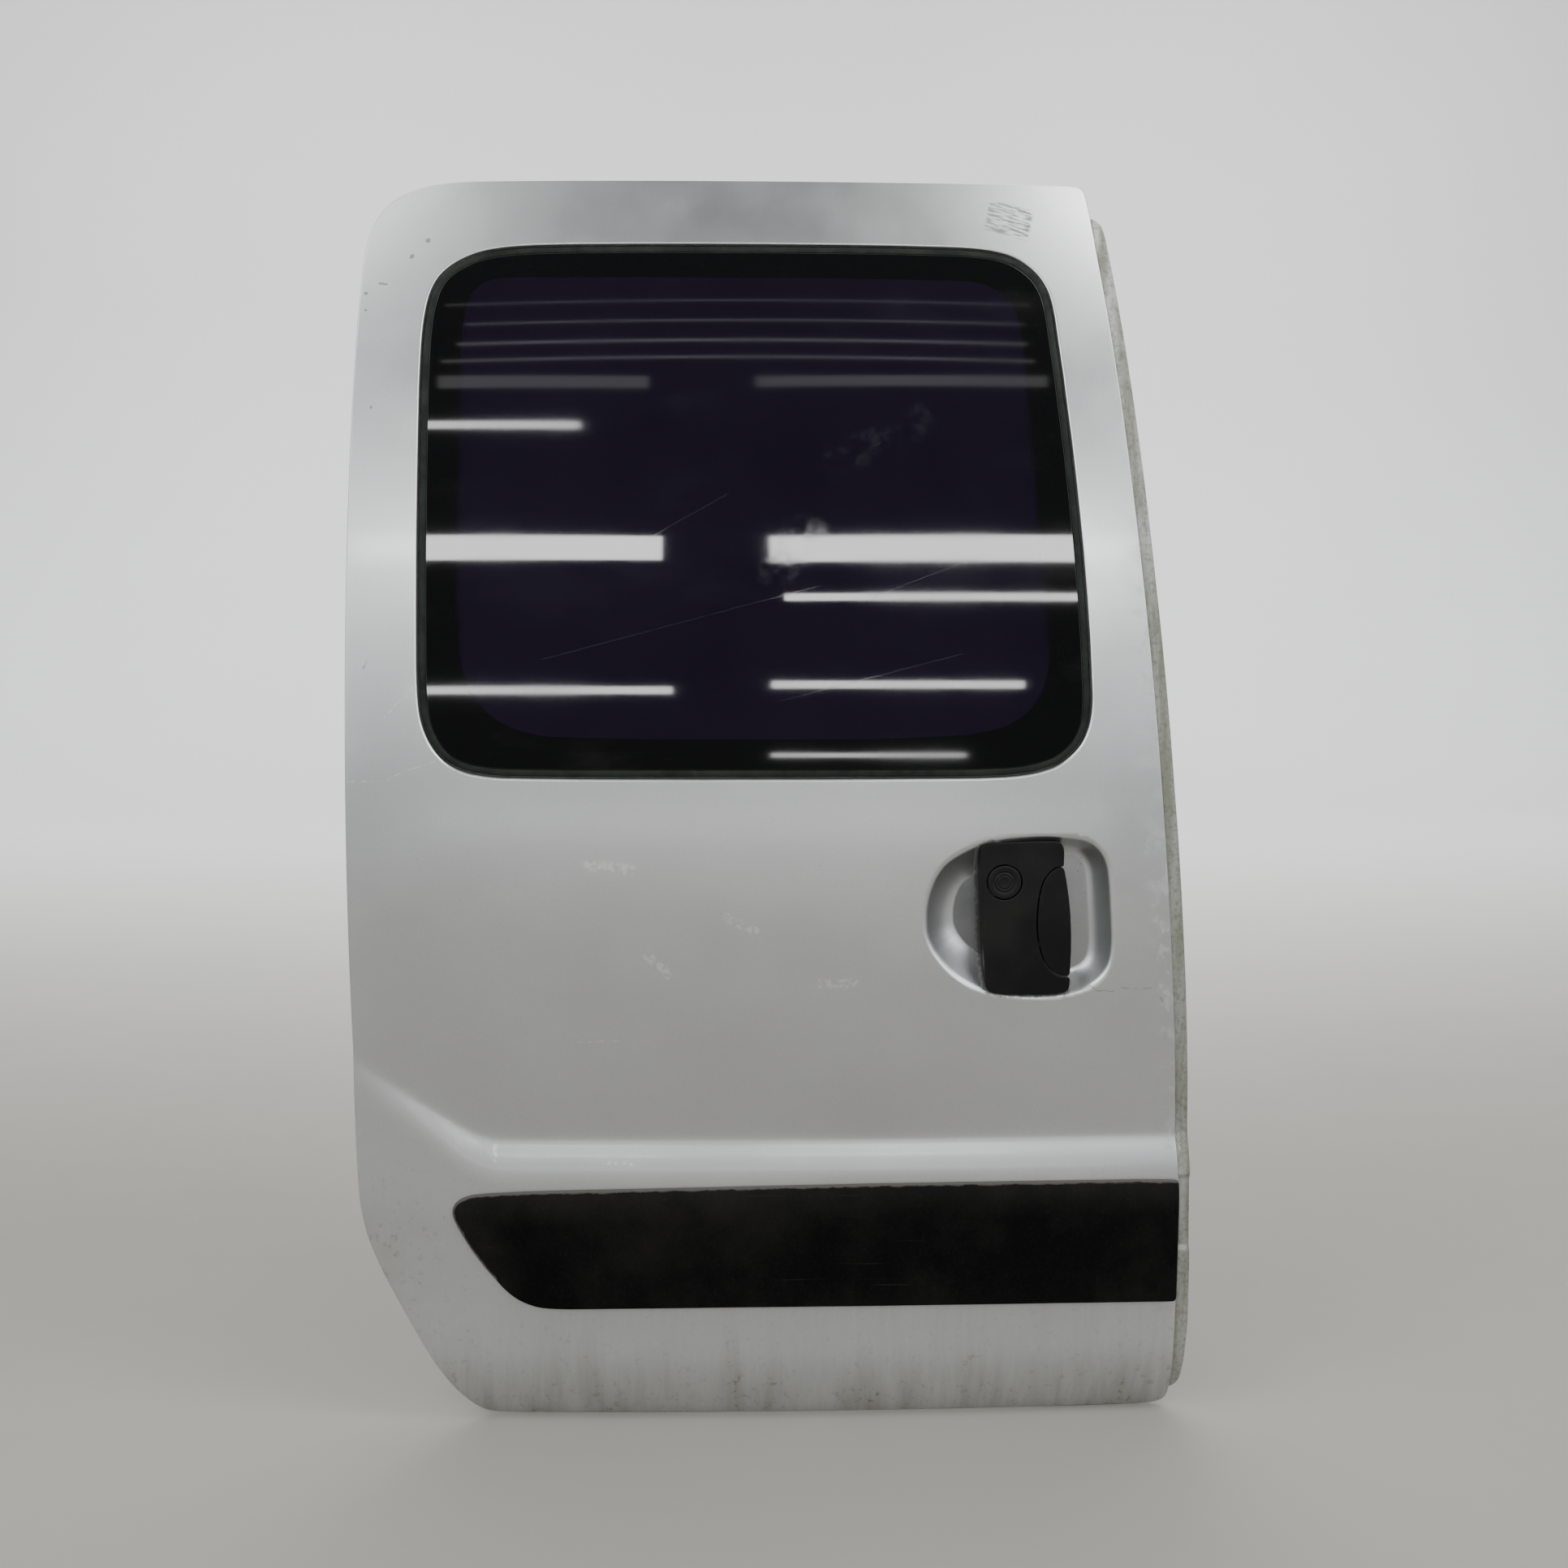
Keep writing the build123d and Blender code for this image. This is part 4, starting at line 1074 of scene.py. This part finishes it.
gt = grid_pts(np.arange(46, 690, 9.0), np.concatenate([np.arange(-468, -270, 9.0), np.arange(-262, -238, 2.0), np.arange(-232, 40, 9.0)]))
gt2 = np.vstack([respace(t_loop - loop_normals(t_loop) * d, 7.0) for d in (8, 16, 20, 23, 26, 30)])
tr = Sheet(t_in, [], trim_y, np.vstack([gt[dist_to(gt, t_loop) > 36], gt2]), np.r_[np.full((dist_to(gt, t_loop) > 36).sum(), 1.6), np.full(len(gt2), 2.0)])
# the card faces inwards: turn the field over, then roll its edge back to the pan
tv = np.array(tr.v)
base = tv.copy()
rimv, rimf = [], []
lpidx = [int(i) for i in tr.loops[0]]
nn = loop_normals(tr.v2[tr.loops[0]])
fr_faces = [tuple(reversed(f)) for f in tr.f]
allv = [q for q in tv]
cur = lpidx
for a, d in ((0.7, -0.2), (1.3, -0.8), (1.6, -1.5)):
    new = []
    for k, i in enumerate(lpidx):
        q = tv[i]
        allv.append(np.array([q[0] + nn[k, 0] * a, q[1] + d, q[2] + nn[k, 1] * a]))
        new.append(len(allv) - 1)
    for k in range(len(lpidx)):
        j = (k + 1) % len(lpidx)
        fr_faces.append((cur[k], cur[j], new[j], new[k]))
    cur = new
bk = [len(allv) + i for i in range(len(tv))]
for q in tv:
    allv.append(np.array([q[0], q[1] - 1.5, q[2]]))
fr_faces += [tuple(bk[i] for i in f) for f in tr.f]
for k in range(len(lpidx)):
    j = (k + 1) % len(lpidx)
    fr_faces.append((cur[k], cur[j], bk[lpidx[j]], bk[lpidx[k]]))
o = make_obj("trim_card", np.array(allv), fr_faces, TRIM)
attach(o, "door")
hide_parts("inner_trim")

# ------------------------------------------------------------------ screw heads and trim clips on the inner side
def heads(name, places, prof, mat, n=24, hexagon=False):
    V, F = [], []
    for cx, cz, y0 in places:
        k0 = len(V)
        for r, d in prof:
            for k in range(n):
                a = 2 * math.pi * k / n
                rr = r * (math.cos(math.pi / 6) / math.cos((a % (math.pi / 3)) - math.pi / 6)) if hexagon and r < prof[-1][0] else r
                V.append((cx + rr * math.cos(a), y0 + d, cz + rr * math.sin(a)))
        for i in range(len(prof) - 1):
            for k in range(n):
                j = (k + 1) % n
                F.append((k0 + i * n + k, k0 + (i + 1) * n + k, k0 + (i + 1) * n + j, k0 + i * n + j))
        V.append((cx, y0 + prof[0][1], cz))
        V.append((cx, y0 + prof[-1][1], cz))
        for k in range(n):
            j = (k + 1) % n
            F.append((len(V) - 2, k0 + k, k0 + j))
            F.append((len(V) - 1, k0 + (len(prof) - 1) * n + j, k0 + (len(prof) - 1) * n + k))
    ob = make_obj(name, V, F, mat, smooth=not hexagon)
    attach(ob, "door")
    return ob


def on_pan(x, z, up):
    return (x, z, float(S(x, z)) + 36.3 + up)


o = heads("arm_screws", [on_pan(606, 650, 3.0), on_pan(674, 650, 3.0), on_pan(667, -553, 4.0), on_pan(757, -553, 4.0),
                         on_pan(667, -503, 4.0), on_pan(757, -503, 4.0)],
          [(4.4, 5.2), (5.2, 4.8), (5.2, 1.5), (7.6, 1.3), (7.6, 0.0)], STEEL, hexagon=True)
o = heads("lock_screws", [(704, -90, 13.0), (704, -30, 13.0), (20, -226, 10.0), (20, -166, 10.0)],
          [(2.0, 1.1), (2.2, 2.0), (4.4, 1.6), (5.4, 0.3), (5.4, 0.0)], STEEL)
o = heads("trim_clips", [on_pan(x, z, 3.0) for x, z in ((70, 14), (215, 22), (360, 22), (500, 22), (655, 12), (64, -180), (664, -200),
                                                         (100, -400), (240, -454), (380, -454), (520, -454), (625, -430))],
          [(2.6, 2.0), (3.0, 2.7), (7.4, 2.2), (8.6, 0.8), (8.6, -0.6)], TRIM)

# ------------------------------------------------------------------ CAD fittings that stay: finish and soft edges
FIN = {"glass_bead": RUBBER, "lever_pin": HANDLE, "centre_hinge_plate": STEEL, "front_latch": STEEL, "front_latch_claw": STEEL,
       "rear_latch": STEEL, "rear_latch_claw": STEEL, "upper_arm": STEEL, "upper_axle": STEEL, "lower_arm": STEEL,
       "lower_guide_axle": STEEL, "lower_load_axle": STEEL, "upper_roller": ROLLER, "lower_guide_roller": ROLLER,
       "lower_load_roller": ROLLER, "inner_handle_bezel": HANDLE, "inner_handle": HANDLE, "bump_stop_upper": RUBBER,
       "bump_stop_lower": RUBBER, "guide_block": HANDLE}
for name, mat in FIN.items():
    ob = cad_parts[name]
    ob = ob if hasattr(ob, "data") else bpy.data.objects[ob]
    for s in range(max(1, len(ob.material_slots))):
        if len(ob.material_slots) == 0:
            ob.data.materials.append(mat)
        else:
            ob.material_slots[s].material = mat
    bv = ob.modifiers.new("edge", "BEVEL")
    bv.width = 0.0008
    bv.segments = 2
    bv.limit_method = "ANGLE"
    bv.angle_limit = math.radians(40)

# ------------------------------------------------------------------ camera, floor, light
cd = bpy.data.cameras.new("cam")
cam = bpy.data.objects.new("cam", cd)
bpy.context.collection.objects.link(cam)
cd.sensor_width = 36.0
cd.sensor_fit = "HORIZONTAL"
cd.lens = 36.0 * FPX / 1932.0
cd.clip_end = 100.0
mw = Matrix(((RT[0], UP[0], -FW[0], CAM[0] * 0.001), (RT[1], UP[1], -FW[1], CAM[1] * 0.001), (RT[2], UP[2], -FW[2], CAM[2] * 0.001), (0, 0, 0, 1)))
cam.matrix_world = mw
bpy.context.scene.camera = cam

FZ = -0.5857
WORLD_MID, WORLD_SIDE = 0.07, 4.2
fm = bpy.data.meshes.new("studio_floor")
n = 24
vs, fs = [], []
prof = [(-9.0, 0.0), (5.0, 0.0)] + [(5.0 + 2.5 * math.sin(math.radians(a)), 2.5 * (1 - math.cos(math.radians(a)))) for a in range(10, 91, 10)] + [(7.5, 9.0)]
for y, z in prof:
    for x in (-14.0, 14.0):
        vs.append((x, y, FZ + z))
for i in range(len(prof) - 1):
    fs.append((2 * i, 2 * i + 1, 2 * i + 3, 2 * i + 2))
fm.from_pydata(vs, [], fs)
fm.polygons.foreach_set("use_smooth", [True] * len(fm.polygons))
fm.materials.append(floor_material())
fo = bpy.data.objects.new("studio_floor", fm)
bpy.context.collection.objects.link(fo)

w = bpy.data.worlds.new("studio")
bpy.context.scene.world = w
w.use_nodes = True
wt = w.node_tree
bg = wt.nodes["Background"]
bg.inputs[0].default_value = (0.93, 0.965, 1.0, 1.0)
tc = wt.nodes.new("ShaderNodeTexCoord")
sx = wt.nodes.new("ShaderNodeSeparateXYZ")
wt.links.new(tc.outputs["Generated"], sx.inputs[0])
ab = wt.nodes.new("ShaderNodeMath")
ab.operation = "ABSOLUTE"
wt.links.new(sx.outputs[0], ab.inputs[0])
mr = wt.nodes.new("ShaderNodeMapRange")
mr.interpolation_type = "SMOOTHSTEP"
wt.links.new(ab.outputs[0], mr.inputs["Value"])
mr.inputs["From Min"].default_value = 0.30
mr.inputs["From Max"].default_value = 0.62
mr.inputs["To Min"].default_value = 0.0
mr.inputs["To Max"].default_value = WORLD_SIDE


def wrange(sock, a, b, lo=0.0, hi=1.0):
    q = wt.nodes.new("ShaderNodeMapRange")
    q.interpolation_type = "SMOOTHSTEP"
    wt.links.new(sock, q.inputs["Value"])
    q.inputs["From Min"].default_value = a
    q.inputs["From Max"].default_value = b
    q.inputs["To Min"].default_value = lo
    q.inputs["To Max"].default_value = hi
    return q.outputs["Result"]


def wmath(op, p, q):
    o2 = wt.nodes.new("ShaderNodeMath")
    o2.operation = op
    wt.links.new(p, o2.inputs[0])
    if hasattr(q, "is_output"):
        wt.links.new(q, o2.inputs[1])
    else:
        o2.inputs[1].default_value = q
    return o2.outputs[0]


side = wmath("MULTIPLY", mr.outputs["Result"], wrange(ab.outputs[0], 0.98, 0.72))
side = wmath("MULTIPLY", side, wrange(sx.outputs[1], 0.15, -0.15))
side = wmath("MULTIPLY", side, wrange(sx.outputs[2], -0.02, 0.12))
rear = wrange(sx.outputs[1], 0.0, 0.4, WORLD_MID, 0.45)
lpth = wt.nodes.new("ShaderNodeLightPath")
seen = lpth.outputs["Is Camera Ray"]
unseen = wmath("SUBTRACT", seen, 1.0)
unseen = wmath("MULTIPLY", unseen, -1.0)
room = wmath("MULTIPLY", wmath("ADD", side, rear), unseen)
wt.links.new(wmath("ADD", room, wmath("MULTIPLY", seen, 0.60)), bg.inputs[1])


def area(name, loc, target, sx, sy, power, col=(1, 1, 1)):
    l = bpy.data.lights.new(name, "AREA")
    l.shape = "RECTANGLE"
    l.size, l.size_y = sx, sy
    l.energy = power
    l.color = col
    ob = bpy.data.objects.new(name, l)
    bpy.context.collection.objects.link(ob)
    d = (Vector(target) - Vector(loc)).normalized()
    ob.location = loc
    ob.rotation_euler = d.to_track_quat("-Z", "Y").to_euler()
    ob.visible_camera = False
    return ob


def mirror_dir(px, py):
    p = ray_hit(px, py, 1.15)
    n = normal_of(S, np.array([p[0]]), np.array([p[2]]))[0]
    v = p - CAM
    v /= np.linalg.norm(v)
    return p, v - 2 * (v @ n) * n


def strip(name, x0, x1, y0, y1, dist, L):
    """A tube light whose mirror image in the pane covers these picture positions."""
    ym = (y0 + y1) / 2
    pa, ra = mirror_dir(x0, ym)
    pb, rb = mirror_dir(x1, ym)
    pc, rc = mirror_dir((x0 + x1) / 2, y0)
    pd, rd = mirror_dir((x0 + x1) / 2, y1)
    A, B, C, D = pa + ra * dist, pb + rb * dist, pc + rc * dist, pd + rd * dist
    mid = (A + B + C + D) / 4
    ex = (B - A)
    lx = np.linalg.norm(ex)
    lz = np.linalg.norm(C - D)
    P = (pa + pb) / 2
    zaxis = (mid - P) / np.linalg.norm(mid - P)       # light emits along -z
    xaxis = ex / lx
    xaxis = xaxis - (xaxis @ zaxis) * zaxis
    xaxis /= np.linalg.norm(xaxis)
    yaxis = np.cross(zaxis, xaxis)
    l = bpy.data.lights.new(name, "AREA")
    l.shape = "RECTANGLE"
    l.size, l.size_y = lx * 0.001, lz * 0.001
    l.energy = L * math.pi * (lx * lz * 1e-6)
    ob = bpy.data.objects.new(name, l)
    bpy.context.collection.objects.link(ob)
    ob.matrix_world = Matrix(((xaxis[0], yaxis[0], zaxis[0], mid[0] * 0.001), (xaxis[1], yaxis[1], zaxis[1], mid[1] * 0.001),
                              (xaxis[2], yaxis[2], zaxis[2], mid[2] * 0.001), (0, 0, 0, 1)))
    ob.visible_camera = False
    return ob


TL = 24.0
strip("tube_a", 440, 818, 660, 690, 3200, TL)
strip("tube_b", 946, 1395, 660, 692, 3200, TL)
strip("tube_c", 965, 1345, 731, 740, 3400, TL * 0.9)
strip("tube_d", 500, 830, 846, 855, 3400, TL * 0.8)
strip("tube_e", 950, 1262, 839, 848, 3400, TL * 0.8)
strip("tube_f", 500, 715, 519, 528, 3200, TL * 0.7)
strip("tube_g", 950, 1190, 928, 933, 3400, TL * 0.6)
for i, (x0, x1, y0, y1, k) in enumerate([(540, 800, 463, 478, 0.05), (930, 1290, 463, 476, 0.05), (560, 1270, 420, 423, 0.07),
                                         (570, 1265, 396, 398, 0.06), (540, 1280, 441, 444, 0.06), (545, 1275, 372, 374, 0.04)]):
    strip("far_%d" % i, x0, x1, y0, y1, 3600, TL * k)
area("top", (0.4, 1.0, 3.4), (0.4, 0.3, -0.6), 3.4, 1.6, 60)
area("wall_l", (-2.6, 3.2, 3.4), (-1.0, 7.5, 0.6), 2.5, 1.0, 190)
area("wall_r", (3.4, 3.2, 3.4), (1.8, 7.5, 0.6), 2.5, 1.0, 190)
area("corner_r", (1.62, -0.67, 2.55), (0.70, 0.1, 0.66), 0.8, 0.8, 27)
area("corner_l", (-0.94, -0.67, 2.53), (-0.02, 0.1, 0.64), 0.8, 0.8, 9.5)
area("horizon", (0.42, -3.1, -0.06), (0.38, 0.0, 0.05), 2.6, 0.24, 5.5)
area("back", (0.6, 3.0, 2.4), (0.4, 0.0, 0.0), 2.0, 2.0, 40)
